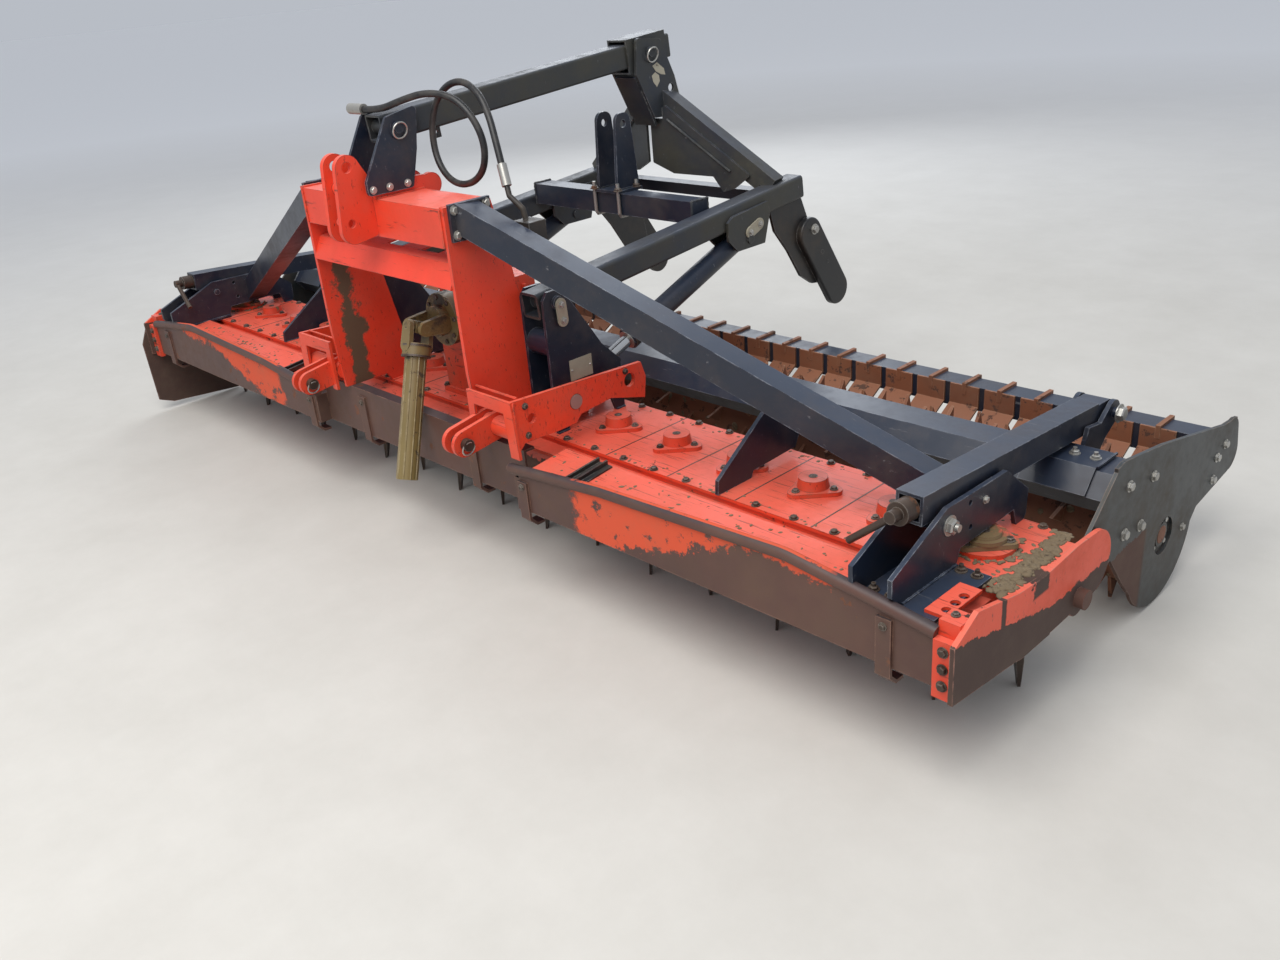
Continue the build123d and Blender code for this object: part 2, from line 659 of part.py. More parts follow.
for side in (-1, 1):
    x0, x1 = sorted((side * CLUTCH_EAR_IN, side * CLUTCH_EAR_OUT))
    cheek = across(lobes((JOINT_Y, JOINT_Z, 24), (-200, JOINT_Z, 30)), x0, x1)
    cheek -= pin(x0, x1, JOINT_Y, JOINT_Z, CROSS_PIN_R + SHAFT_GAP)
    ears.append(cheek)
clutch = clutch + ears
keep("slip_clutch", clutch)
joint = Vector(0, JOINT_Y, JOINT_Z)
hang = (Vector(*FOOT) - joint).normalized()
cross_axis = hang.cross(Vector(1, 0, 0)).normalized()
cross_plane = Plane(origin=joint, x_dir=(1, 0, 0), z_dir=cross_axis)
joint_cross = cross_plane * Box(CROSS_BODY, CROSS_BODY, CROSS_BODY)
for way, reach in ((Vector(1, 0, 0), CLUTCH_EAR_OUT), (cross_axis, EAR_OUT)):
    for side in (-1, 1):
        start = joint + way * (side * (CROSS_BODY / 2 - 1))
        joint_cross += rod(start, joint + way * (side * reach), CROSS_PIN_R)
keep("joint_cross", joint_cross)

# Roller frame: hexagonal beam, end plates and scraper beam
hex_face = outline([
    (BEAM_Y - HEX_HALF, BEAM_Z), (BEAM_Y - HEX_FLAT, BEAM_Z + HEX_HIGH),
    (BEAM_Y + HEX_FLAT, BEAM_Z + HEX_HIGH), (BEAM_Y + HEX_HALF, BEAM_Z),
    (BEAM_Y + HEX_FLAT, BEAM_Z - HEX_HIGH), (BEAM_Y - HEX_FLAT, BEAM_Z - HEX_HIGH),
])
hex_beam = across(hex_face, -PLATE_IN, PLATE_IN)
keep("roller_beam", hex_beam)
end_face = lobes((PIVOT_Y, PIVOT_Z, PIVOT_BOSS_R), (338, 310, 34), (360, 505, 30))
end_face += outline([
    (338, 277), (431, 162), (537, 50), (655, 200), (846, 172), (880, 207), (1090, 237),
    (1110, 400), (1014, 407), (591, 500), (372, 535), (330, 529),
])
end_face += Pos(END_ROUND[0], END_ROUND[1]) * Circle(END_ROUND[2])
end_face += lobes((1095, 290, 52), (1080, 355, 50), (900, 300, 60))
end_plate = across(end_face, PLATE_IN, PLATE_IN + PLATE_T)
end_plate -= pin(PLATE_IN, PLATE_IN + PLATE_T, PIVOT_Y, PIVOT_Z, PIVOT_R + SHAFT_GAP)
end_plate -= pin(PLATE_IN, PLATE_IN + PLATE_T, AXLE_Y + 8, AXLE_Z - 6, END_OPENING_R)
bearing = pin(BEARING_IN, PLATE_IN, AXLE_Y, AXLE_Z, BEARING_R)
bearing += pin(BEARING_IN, PLATE_IN + PLATE_T - 3, AXLE_Y, AXLE_Z, STUB_R + 9)
end_plate += bearing
end_plate -= pin(BEARING_IN, PLATE_IN + PLATE_T, AXLE_Y, AXLE_Z, STUB_R + SHAFT_GAP)
keep("roller_end_plates", pair(end_plate))
half = SCRAPER_SIDE / 2
scraper_beam = block(
    -PLATE_IN, PLATE_IN, SCRAPER_Y - half, SCRAPER_Y + half, SCRAPER_Z - half, SCRAPER_Z + half,
)
keep("scraper_beam", scraper_beam)
blade_tip = DRUM_R + BLADE_GAP
blade_aim = (AXLE_Y + blade_tip, AXLE_Z + 20)
blade_path = [blade_aim, (SCRAPER_Y - half, SCRAPER_Z - 30), (SCRAPER_Y - half, SCRAPER_Z + half)]
blade_face = folded(blade_path, BLADE_T)
strap_front = SCRAPER_Y - half
strap_rear = SCRAPER_Y + half
strap_top = SCRAPER_Z + half
strap_face = folded([
    (strap_front, strap_top - 30), (strap_front, strap_top), (strap_rear, strap_top),
    (strap_rear, strap_top - 60),
], STRAP_T)
blades = []
for k in range(-(RING_COUNT // 2) + 1, RING_COUNT // 2):
    x = RING_PITCH * k
    blade = across(blade_face, x - BLADE_WIDE / 2, x + BLADE_WIDE / 2)
    blades.append(blade + across(strap_face, x - STRAP_WIDE / 2, x + STRAP_WIDE / 2))
keep("scrapers", blades)

# Saddles over the beam under the spindle tubes, with the ears behind them
beam_saddle_face = folded([
    (BEAM_Y - HEX_HALF, BEAM_Z), (BEAM_Y - HEX_FLAT, BEAM_Z + HEX_HIGH),
    (BEAM_Y + HEX_FLAT, BEAM_Z + HEX_HIGH),
], BEAM_SADDLE_T)
beam_saddle = across(beam_saddle_face, LINK_X - BEAM_SADDLE_IN, LINK_X + BEAM_SADDLE_OUT)
ear_face = lobes((EYE_Y, EYE_Z, 34), (530, 470, 26))
ear_face += outline([
    (BEAM_Y + HEX_FLAT, BEAM_Z + HEX_HIGH), (BEAM_Y + HEX_FLAT + 20, 540), (640, 520), (560, 440),
    (BEAM_Y + HEX_HALF, BEAM_Z),
])
ear_inner = EYE_WIDE / 2 + SIDE_GAP
beam_ears = []
for side in (-1, 1):
    x0, x1 = sorted((LINK_X + side * ear_inner, LINK_X + side * (ear_inner + 12)))
    beam_ears.append(across(ear_face, x0, x1) - across(hex_face, x0, x1))
eye_pin = pin(LINK_X - ear_inner - 22, LINK_X + ear_inner + 26, EYE_Y, EYE_Z, EYE_PIN_R)
keep("spindle_saddles", pair(beam_saddle + beam_ears + eye_pin))

# Packer roller: drum with toothed rings and a stub shaft at each end
drum = pin(-ROLLER_HALF, ROLLER_HALF, AXLE_Y, AXLE_Z, DRUM_R)
stub_end = PLATE_IN + PLATE_T - 2
for side in (-1, 1):
    x0, x1 = sorted((side * ROLLER_HALF, side * stub_end))
    drum += pin(x0, x1, AXLE_Y, AXLE_Z, STUB_R)
tip_side = TOOTH_BASE / 2 - 8
tip_turn = degrees(asin(tip_side / TOOTH_TIP_R))
tooth_face = outline([
    (DRUM_R - TOOTH_ROOT, -TOOTH_BASE / 2), (DRUM_R - TOOTH_ROOT, TOOTH_BASE / 2),
    (TOOTH_TIP_R * cos(radians(tip_turn)), tip_side),
])
tooth_step = 360 / TOOTH_COUNT
ring_face = Circle(DRUM_R - TOOTH_ROOT / 2)
for k in range(TOOTH_COUNT):
    ring_face += Rot(0, 0, tooth_step * k) * tooth_face
rings = []
for ring in range(RING_COUNT):
    x = RING_PITCH * (ring - (RING_COUNT - 1) / 2)
    turn = tooth_step * 0.5 * (ring % 2) - 90 - tip_turn
    face = Pos(AXLE_Y, AXLE_Z) * Rot(0, 0, turn) * ring_face
    rings.append(across(face, x - TOOTH_T / 2, x + TOOTH_T / 2))
keep("packer_roller", drum + rings)

# Spindle trunnions: a block on the pin that rides inside the slotted tube
link_slope = atan2(EYE_Z - LINK_PIN_Z - LINK_RISE, EYE_Y - LINK_PIN_Y)
trunnion_half = 15
tube_inside = LINK_SIDE - 2 * LINK_WALL
trunnion = across(
    lobes((LINK_PIN_Y, LINK_PIN_Z, 22), (LINK_PIN_Y, LINK_PIN_Z + 30, 20)),
    LINK_X - trunnion_half, LINK_X + trunnion_half,
)
link_frame = Pos(LINK_X, LINK_PIN_Y, LINK_PIN_Z + LINK_RISE) * Rot(degrees(link_slope), 0, 0)
nut_side = tube_inside - 2
trunnion += link_frame * Box(nut_side, 44, nut_side)
trunnion += pin(LINK_X - 42, LINK_X + 42, LINK_PIN_Y, LINK_PIN_Z, 15)
trunnion -= pin(LINK_X - 42, LINK_X + 42, LINK_PIN_Y, LINK_PIN_Z, LINK_PIN_R + SHAFT_GAP)
keep("spindle_trunnions", pair(trunnion))

# Spindle tubes, with the rear eye
tube_front = -75
tube_rear = hypot(EYE_Y - LINK_PIN_Y, EYE_Z - LINK_PIN_Z - LINK_RISE)
slot_front = -50
slot_rear = 130
tube = Pos(0, (tube_front + tube_rear - 60) / 2, 0) * (
    Box(LINK_SIDE, tube_rear - 60 - tube_front, LINK_SIDE)
    - Box(tube_inside, tube_rear - 60 - tube_front, tube_inside)
)
slot_wide = 2 * trunnion_half + 2
tube -= Pos(0, (slot_front + slot_rear) / 2, -LINK_SIDE / 2) * Box(
    slot_wide, slot_rear - slot_front, 2 * LINK_WALL + 2,
)
tube += Pos(0, tube_rear - 60 - 4, 0) * Box(tube_inside, 8, tube_inside)
link_tube = link_frame * tube
eye = across(lobes((EYE_Y, EYE_Z, EYE_R), (EYE_Y - 62, EYE_Z + 5, 30)),
             LINK_X - EYE_WIDE / 2, LINK_X + EYE_WIDE / 2)
tube_end = link_frame * (Pos(0, (tube_front + tube_rear - 60) / 2, 0)
                         * Box(LINK_SIDE, tube_rear - 60 - tube_front, LINK_SIDE))
eye = eye - tube_end
eye -= pin(LINK_X - EYE_WIDE / 2, LINK_X + EYE_WIDE / 2, EYE_Y, EYE_Z, EYE_PIN_R + EYE_FREE)
link_tube += eye.solids().sort_by(SortBy.VOLUME)[-1]
keep("spindle_tubes", pair(link_tube))
collar = link_frame * (Pos(0, tube_front - 22, 0) * Rot(90, 0, 0) * Cylinder(28, 44))
screw = link_frame * (Pos(0, tube_front - 59, 0) * Rot(90, 0, 0) * Cylinder(15, 30))
lever_start = (LINK_X, LINK_PIN_Y + tube_front - 64, LINK_PIN_Z + LINK_RISE + 9)
lever = rod(lever_start, (LINK_X - 105, LINK_PIN_Y - 150, 515), 9)
keep("spindle_cranks", pair(collar + screw + lever))

# Rear hitch arms
arm_run = ARM_REAR - ARM_FRONT
arm_frame = Pos(ARM_X, ARM_PIVOT_Y, ARM_PIVOT_Z) * Rot(ARM_RISE, 0, 0)
front_reach = (ARM_PIVOT_Y - ARM_FRONT) / cos(radians(ARM_RISE))
rear_reach = (ARM_REAR - ARM_PIVOT_Y) / cos(radians(ARM_RISE))
arm = square_tube(ARM_SIDE, ARM_WALL, ARM_ROUND, -front_reach, rear_reach)
arm_inside = ARM_SIDE - 2 * ARM_WALL + 1
arm = arm_frame * (arm + Pos(0, rear_reach - 4, 0) * Box(arm_inside, 8, arm_inside))
arm_bush = pin(ARM_X - ARM_SIDE / 2, ARM_X + ARM_SIDE / 2, ARM_PIVOT_Y, ARM_PIVOT_Z, ARM_PIN_R + 10)
arm = arm + arm_bush
arm -= pin(ARM_X - ARM_SIDE, ARM_X + ARM_SIDE, ARM_PIVOT_Y, ARM_PIVOT_Z, ARM_PIN_R + SHAFT_GAP)
ram_face = outline([(674, 890), (674, 829), (720, 785), (861, 785), (892, 885), (883, 925), (700, 907)])
ram_plates = []
for inner in (ARM_X - ARM_SIDE / 2 - BOX_T, ARM_X + ARM_SIDE / 2):
    ram_plates.append(across(ram_face, inner, inner + BOX_T))
ram_pin = pin(ARM_X - ARM_SIDE / 2 - BOX_T - 6, ARM_X + ARM_SIDE / 2 + BOX_T + 6, RAM_Y, RAM_Z, RAM_PIN_R)
ram_bracket = ram_plates[0] + ram_plates[1] + ram_pin
keep("hitch_arms", pair(arm + ram_bracket))
arm_inner = ARM_X - ARM_SIDE / 2
cross_bar = block(-arm_inner, arm_inner, 600, 675, 893, 968)
channel = block(-arm_inner, arm_inner, 1000, 1060, 885, 925)
keep("hitch_cross_bars", cross_bar, channel)
post_face = lobes((645, 1207, 30), (656, 1207, 30), (611, 989, 11), (695, 989, 11))
post_plate = across(post_face, 42, 54) - pin(42, 54, 650, 1200, 13)
post_base = block(-70, 70, 590, 705, 968, 978)
keep("clevis_posts", pair(post_plate), post_base)
hook_face = outline([
    (926, 884), (952, 801), (1022, 715), (1094, 605), (1158, 562), (1198, 556), (1226, 584),
    (1204, 716), (1142, 801), (1100, 896),
], corner=12)
claw_face = lobes((1132, 756, 60), (1290, 513, 60))
arm_cut = arm_frame * (Pos(0, (rear_reach - front_reach) / 2, 0)
                       * Box(ARM_SIDE, rear_reach + front_reach, ARM_SIDE))
hook = across(hook_face, HOOK_IN, HOOK_IN + HOOK_T) - arm_cut
claw = across(claw_face, HOOK_IN + HOOK_T, HOOK_IN + HOOK_T + CLAW_T)
claw = fillet(claw.faces().sort_by(Axis.X)[-1].edges(), CLAW_T / 3)
keep("drill_hooks", pair(hook.solids().sort_by(SortBy.VOLUME)[-1]), pair(claw))

# Hitch mast
mast_face = outline([
    (MAST_Y - 63, MAST_Z + 52), (MAST_Y + 53, MAST_Z + 40), (MAST_Y + 114, MAST_Z - 90),
    (MAST_Y + 153, MAST_Z - 227), (MAST_Y + 3, MAST_Z - 222), (MAST_Y - 74, MAST_Z - 67),
], corner=15)
mast_plate = across(mast_face, MAST_IN, MAST_IN + MAST_T)
mast_plate -= pin(MAST_IN, MAST_IN + MAST_T, MAST_Y, MAST_Z, STAY_PIN_R + SHAFT_GAP)
mast_plate -= pin(MAST_IN, MAST_IN + MAST_T, MAST_Y + 93, MAST_Z - 129, 14)
leg_top = Vector(MAST_IN + MAST_T, MAST_Y + 85, MAST_Z - 184)
leg_low = Vector(ARM_X - 5, 985, 950)
leg = bar(leg_top - (leg_low - leg_top) * 0.12, leg_low, 70, 70)
leg -= block(-MAST_IN - MAST_T, MAST_IN + MAST_T, 0, 2 * ARM_REAR, MAST_Z - 419, 2 * MAST_Z)
leg = (leg - arm_cut).solids().sort_by(SortBy.VOLUME)[-1]
leg_run = leg_low - leg_top
leg_run.Z = 0
leg_front = leg_run.cross(Vector(0, 0, 1)).normalized()
leg_plane = Plane(origin=leg_top + leg_front * 35, x_dir=leg_run, z_dir=leg_front)
mast_gusset_face = outline([
    (-63, -42), (-63, -200), (22, -238), (183, -246), (222, -300), (268, -286), (330, -240), (0, 0),
], corner=6)
mast_gusset = extrude(leg_plane * mast_gusset_face, amount=MAST_T)
mast_gusset -= block(-MAST_IN - MAST_T, MAST_IN + MAST_T, 0, 2 * ARM_REAR, MAST_Z - 229, 2 * MAST_Z)
web_face = folded([
    (MAST_Y - 71, MAST_Z - 79), (MAST_Y + 3, MAST_Z - 229), (MAST_Y + 12, MAST_Z - 251),
], MAST_T)
mast_web = across(web_face, -MAST_IN, MAST_IN)
keep("hitch_mast", pair(mast_plate), pair(leg), pair(mast_gusset), mast_web)

# Top stay, and the sleeve on the mast that it slides through
stay_turn = degrees(atan2(MAST_Z - STAY_Z, MAST_Y - STAY_Y))
stay_frame = Pos(0, STAY_Y, STAY_Z) * Rot(stay_turn, 0, 0)
stay_a = (STAY_FRONT - STAY_Y) / cos(radians(stay_turn))
stay_b = (STAY_END - STAY_Y) / cos(radians(stay_turn))
stay = square_tube(STAY_SIDE, STAY_WALL, STAY_ROUND, stay_a, stay_b)
stay += Rot(0, 90, 0) * Cylinder(STAY_PIN_R + 8, STAY_SIDE)
stay -= Rot(0, 90, 0) * Cylinder(STAY_PIN_R + SHAFT_GAP, STAY_SIDE + 10)
tab = Pos(0, 170, -STAY_SIDE / 2 - 18) * (Box(8, 36, 36) - Rot(0, 90, 0) * Cylinder(8, 20))
keep("top_stay", stay_frame * (stay + tab))
sleeve_frame = Pos(0, MAST_Y, MAST_Z) * Rot(stay_turn, 0, 0)
sleeve_wide = STAY_SIDE / 2 + SLEEVE_SIDE_GAP
sleeve_high = STAY_SIDE / 2 + SLEEVE_GAP
sleeve = Box(2 * (sleeve_wide + SLEEVE_WALL), SLEEVE_LONG, 2 * (sleeve_high + SLEEVE_WALL))
sleeve -= Box(2 * sleeve_wide, SLEEVE_LONG, 2 * sleeve_high)
sleeve_out = sleeve_wide + SLEEVE_WALL
for side in (-1, 1):
    reach = MAST_IN + MAST_T + 10
    sleeve += Pos(side * (sleeve_out + reach) / 2, 0, 0) * Rot(0, 90, 0) * Cylinder(
        STAY_PIN_R, reach - sleeve_out)
keep("stay_sleeve", sleeve_frame * sleeve)

# Lift rams: barrel on the arm, rod to the foot pin
ram_turn = atan2(ROD_Z - RAM_Z, ROD_Y - RAM_Y)
ram_long = hypot(ROD_Z - RAM_Z, ROD_Y - RAM_Y)


def along(distance):
    """Point on the ram's line at a distance from its upper eye"""
    return (ARM_X, RAM_Y + distance * cos(ram_turn), RAM_Z + distance * sin(ram_turn))


barrel = rod(along(28), along(BARREL_LONG), BARREL_R)
barrel += pin(ARM_X - 30, ARM_X + 30, RAM_Y, RAM_Z, 30)
barrel -= pin(ARM_X - 30, ARM_X + 30, RAM_Y, RAM_Z, RAM_PIN_R + SHAFT_GAP)
barrel -= rod(along(200), along(BARREL_LONG), ROD_R + SHAFT_GAP)
keep("ram_barrels", pair(barrel))
ram_rod = rod(along(260), along(ram_long - 25), ROD_R)
ram_rod += pin(ARM_X - 30, ARM_X + 30, ROD_Y, ROD_Z, 34)
ram_rod -= pin(ARM_X - 30, ARM_X + 30, ROD_Y, ROD_Z, RAM_PIN_R + ROD_FREE)
keep("ram_rods", pair(ram_rod))

# Half shaft that hangs from the joint, with its yoke
half_shaft = rod(joint + hang * 62, Vector(*FOOT), TUBE_R)
half_shaft += rod(joint + hang * 55, joint + hang * 95, TUBE_R + 12)
for side in (-1, 1):
    plane = Plane(
        origin=joint + cross_axis * (side * EAR_IN), x_dir=hang, z_dir=cross_axis * side,
    )
    cheek = extrude(plane * lobes((0, 0, 20), (60, 0, 23)), amount=EAR_OUT - EAR_IN)
    half_shaft += cheek
half_shaft -= rod(
    joint - cross_axis * (EAR_OUT + 1), joint + cross_axis * (EAR_OUT + 1), CROSS_PIN_R + SHAFT_GAP,
)
keep("half_shaft", half_shaft)

# Valve block behind the right brace, with its pipe and quick coupling
hose_end = Vector(*HOSE[-1])
hose_aim = (hose_end - Vector(*HOSE[-2])).normalized()
coupling_low = hose_end + hose_aim * COUPLING_LONG
valve_top = 1085
valve = block(505, 575, VALVE_Y, VALVE_Y + 60, valve_top - 55, valve_top)
pipe_path = [(525, VALVE_Y + 30, valve_top), (520, VALVE_Y + 28, valve_top + 30),
             tuple(coupling_low + hose_aim * 28), tuple(coupling_low)]
pipe_line = FilletPolyline(*pipe_path, radius=12)
valve += sweep(Plane(origin=pipe_path[0], z_dir=pipe_line % 0) * Circle(8), path=pipe_line)
coupling = rod(hose_end, coupling_low, 14)
keep("valve_block", valve)

# Hydraulic hose: one coil from a coupling on the stay brackets to the valve
turns = []
radii = []
for before, here, after in zip(HOSE, HOSE[1:], HOSE[2:]):
    first = Vector(*here) - Vector(*before)
    second = Vector(*after) - Vector(*here)
    turn = first.get_angle(second)
    turns.append(turn)
    radii.append(0.45 * min(first.length, second.length) / tan(radians(turn / 2)))
hose_line = FilletPolyline(*HOSE, radius=radii)
hose_start = Plane(origin=HOSE[0], z_dir=Vector(*HOSE[1]) - Vector(*HOSE[0]))
hose = sweep(hose_start * Circle(HOSE_R), path=hose_line)
print("hose length", hose_line.length, "volume", hose.volume, pi * HOSE_R**2 * hose_line.length)
print("hose turns", [round(t) for t in turns])
print("hose radii", [round(r) for r in radii])
keep("hydraulic_hose", hose)
aim = (Vector(*HOSE[0]) - Vector(*HOSE[1])).normalized()
front_coupling = rod(Vector(*HOSE[0]), Vector(*HOSE[0]) + aim * 75, 16)
keep("hose_couplings", front_coupling, coupling)

# Move every node so that the origin lies under the middle
everything = Compound([solid for solids in nodes.values() for solid in solids])
bounds = everything.bounding_box()
shift = Pos(-bounds.center().X, -bounds.center().Y, 0)
for name, solids in nodes.items():
    shape = Compound(solids) if len(solids) > 1 else solids[0]
    export_step(shift * shape, f"parts/{name}.step")
    print(f"{name:24} {len(solids):3} solids")
print("box", bounds.min, bounds.max)
print("shift Y", -bounds.center().Y, "X", -bounds.center().X)
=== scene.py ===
# %% [markdown]
# A mounted power harrow: a long orange gear trough with sixteen turning
# rotors, a toothed packer roller behind it and a navy blue lifting frame for a
# seed drill. The solid parts arrive from the CAD pack as a fixed frame. This
# notebook gives them worn paint, rust and mud, and adds what CAD leaves out:
# bolts, weld beads, rings, plates, straps and the hydraulic hose.

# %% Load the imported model
import bpy
import bmesh
import math
import random
from mathutils import Matrix, Vector


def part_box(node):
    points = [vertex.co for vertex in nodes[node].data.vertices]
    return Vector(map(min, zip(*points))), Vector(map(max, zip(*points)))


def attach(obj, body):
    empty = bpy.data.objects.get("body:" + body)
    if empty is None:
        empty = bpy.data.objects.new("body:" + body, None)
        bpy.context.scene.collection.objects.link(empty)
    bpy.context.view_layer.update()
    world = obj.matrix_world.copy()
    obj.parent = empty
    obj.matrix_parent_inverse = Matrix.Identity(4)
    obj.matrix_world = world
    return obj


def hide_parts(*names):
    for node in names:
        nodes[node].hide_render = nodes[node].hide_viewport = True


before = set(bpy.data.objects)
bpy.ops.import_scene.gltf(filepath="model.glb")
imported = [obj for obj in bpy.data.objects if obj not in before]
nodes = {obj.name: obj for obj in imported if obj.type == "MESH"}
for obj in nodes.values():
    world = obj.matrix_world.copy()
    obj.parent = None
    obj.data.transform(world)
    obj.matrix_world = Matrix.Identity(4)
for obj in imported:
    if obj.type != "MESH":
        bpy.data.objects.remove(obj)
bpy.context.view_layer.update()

# %% [markdown]
# Every size below is in millimetres, from the rotor line (Y = 0) and the
# ground (Z = 0), as a maker would read it off a drawing. One helper turns such
# a place into Blender's metres. The rotor line is found from a rotor's own
# box, so nothing has to be fitted by hand.

# %% Places in millimetres
low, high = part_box("rotor_01")
ROTOR_LINE = (low[1] + high[1]) / 2
ROTOR_COUNT = 16
ROTOR_PITCH = 250
ROTOR_X = [ROTOR_PITCH * (n - (ROTOR_COUNT - 1) / 2) for n in range(ROTOR_COUNT)]


def at(x, y, z):
    """A drawing's point as a point in the scene"""
    return Vector((x / 1000, y / 1000 + ROTOR_LINE, z / 1000))


print("rotor line at", round(ROTOR_LINE, 4))

# %% [markdown]
# The camera stands where the photographer stood: a little above head height at
# the front right corner, looking down along the machine. Its direction is
# written as yaw, pitch and a small roll, because the picture was held slightly
# crooked, and the three turns make the camera's own axes.

# %% Camera
EYE = at(3033, -2112, 1727)
YAW, PITCH, ROLL = (math.radians(a) for a in (47.87, 25.09, 5.07))
ahead = Vector((
    -math.sin(YAW) * math.cos(PITCH), math.cos(YAW) * math.cos(PITCH), -math.sin(PITCH),
))
level = Vector((math.cos(YAW), math.sin(YAW), 0))
upward = level.cross(ahead)
right = math.cos(ROLL) * level - math.sin(ROLL) * upward
above = math.sin(ROLL) * level + math.cos(ROLL) * upward


def add(name, data):
    """New object in the scene"""
    made = bpy.data.objects.new(name, data)
    bpy.context.scene.collection.objects.link(made)
    return made


camera = add("camera", bpy.data.cameras.new("camera"))
turned = Matrix((right, above, -ahead)).transposed().to_4x4()
camera.matrix_world = Matrix.Translation(EYE) @ turned
camera.data.sensor_width = 36
camera.data.lens = 31.42
camera.data.clip_end = 200
bpy.context.scene.camera = camera
print("camera at", [round(c, 3) for c in EYE])

# %% [markdown]
# Materials are built from nodes. To keep each recipe readable, one helper adds
# a node, sets its options and either links an input or gives it a value. The
# others name the few nodes that every finish uses: noise, a cut between two
# levels, arithmetic, masks joined by "and" or "or", and a mix of two colours.
# All patterns read object coordinates, so paint and rust stay on their part
# when it moves.

# %% A short way to write nodes


def put(tree, kind, inputs=None, **options):
    """Add a shader node, set its options and fill or link its inputs"""
    made = tree.nodes.new("ShaderNode" + kind)
    for key, value in options.items():
        setattr(made, key, value)
    for key, value in (inputs or {}).items():
        socket = made.inputs[key]
        if isinstance(value, bpy.types.NodeSocket):
            tree.links.new(value, socket)
        elif socket.type == "RGBA":
            socket.default_value = (*value, 1)
        else:
            socket.default_value = value
    return made


def places(tree, stretch=(1, 1, 1), turn=(0, 0, 0)):
    """Object coordinates, stretched for scratches or streaks"""
    spot = put(tree, "TexCoord").outputs["Object"]
    inputs = {"Vector": spot, "Scale": stretch, "Rotation": turn}
    return put(tree, "Mapping", inputs).outputs["Vector"]


def spot_on(tree):
    """X, Y and Z of a place on the part"""
    spot = put(tree, "TexCoord").outputs["Object"]
    return put(tree, "SeparateXYZ", {"Vector": spot}).outputs


def clouds(tree, scale, detail, rough, where=None, seed=0.0):
    """Soft grey noise"""
    inputs = {
        "Vector": where or places(tree), "W": seed,
        "Scale": scale, "Detail": detail, "Roughness": rough,
    }
    return put(tree, "TexNoise", inputs, noise_dimensions="4D").outputs["Fac"]


def cut(tree, value, low, high, out_low=0.0, out_high=1.0):
    """Sharpen a grey value between two levels"""
    inputs = {
        "Value": value, "From Min": low, "From Max": high,
        "To Min": out_low, "To Max": out_high,
    }
    return put(tree, "MapRange", inputs, clamp=True).outputs["Result"]


def combine(tree, how, a, b):
    """Join two grey values"""
    return put(tree, "Math", {0: a, 1: b}, operation=how).outputs[0]


def distance(tree, value, middle):
    """How far a value lies from a middle, on either side"""
    return combine(tree, "ABSOLUTE", combine(tree, "SUBTRACT", value, middle), 0.0)


def every(tree, first, *others):
    """1 only where all the masks are 1"""
    for mask in others:
        first = combine(tree, "MULTIPLY", first, mask)
    return first


def either(tree, first, *others):
    """1 where one of the masks is 1"""
    for mask in others:
        first = combine(tree, "MAXIMUM", first, mask)
    return first


def blend_colour(tree, mask, a, b):
    """Colour a where the mask is 0, colour b where it is 1"""
    return put(tree, "Mix", {0: mask, 6: a, 7: b}, data_type="RGBA").outputs[2]


print("node helpers ready")

# %% [markdown]
# Paint on a farm machine wears off its edges first and keeps dust on what
# faces up. The edge mask compares the surface's normal with a rounded one from
# the Bevel node: they differ only near a corner. The upward mask is simply how
# far the surface looks upward, in the part's own coordinates; it places the top
# tone, which is partly sun fading and partly painted skylight.

# %% Masks for worn edges, and for tops with sun fading and painted skylight


def edges(tree, radius, low, high):
    """Broken wear along edges and corners"""
    rounded = put(tree, "Bevel", {"Radius": radius}, samples=4).outputs[0]
    flat = put(tree, "NewGeometry").outputs["True Normal"]
    dot = put(tree, "VectorMath", {0: rounded, 1: flat}, operation="DOT_PRODUCT")
    near = cut(tree, dot.outputs["Value"], 0.995, 0.90)
    return every(tree, near, cut(tree, clouds(tree, 18, 6, 0.7), low, high))


def faces_up_for_light_and_fade(tree):
    """1 on faces that look up, 0 on walls and undersides: where sun fading and painted skylight
    go
    """
    normal = put(tree, "TexCoord").outputs["Normal"]
    lift = put(tree, "SeparateXYZ", {"Vector": normal}).outputs["Z"]
    return cut(tree, lift, 0.45, 0.95)


print("wear masks ready")
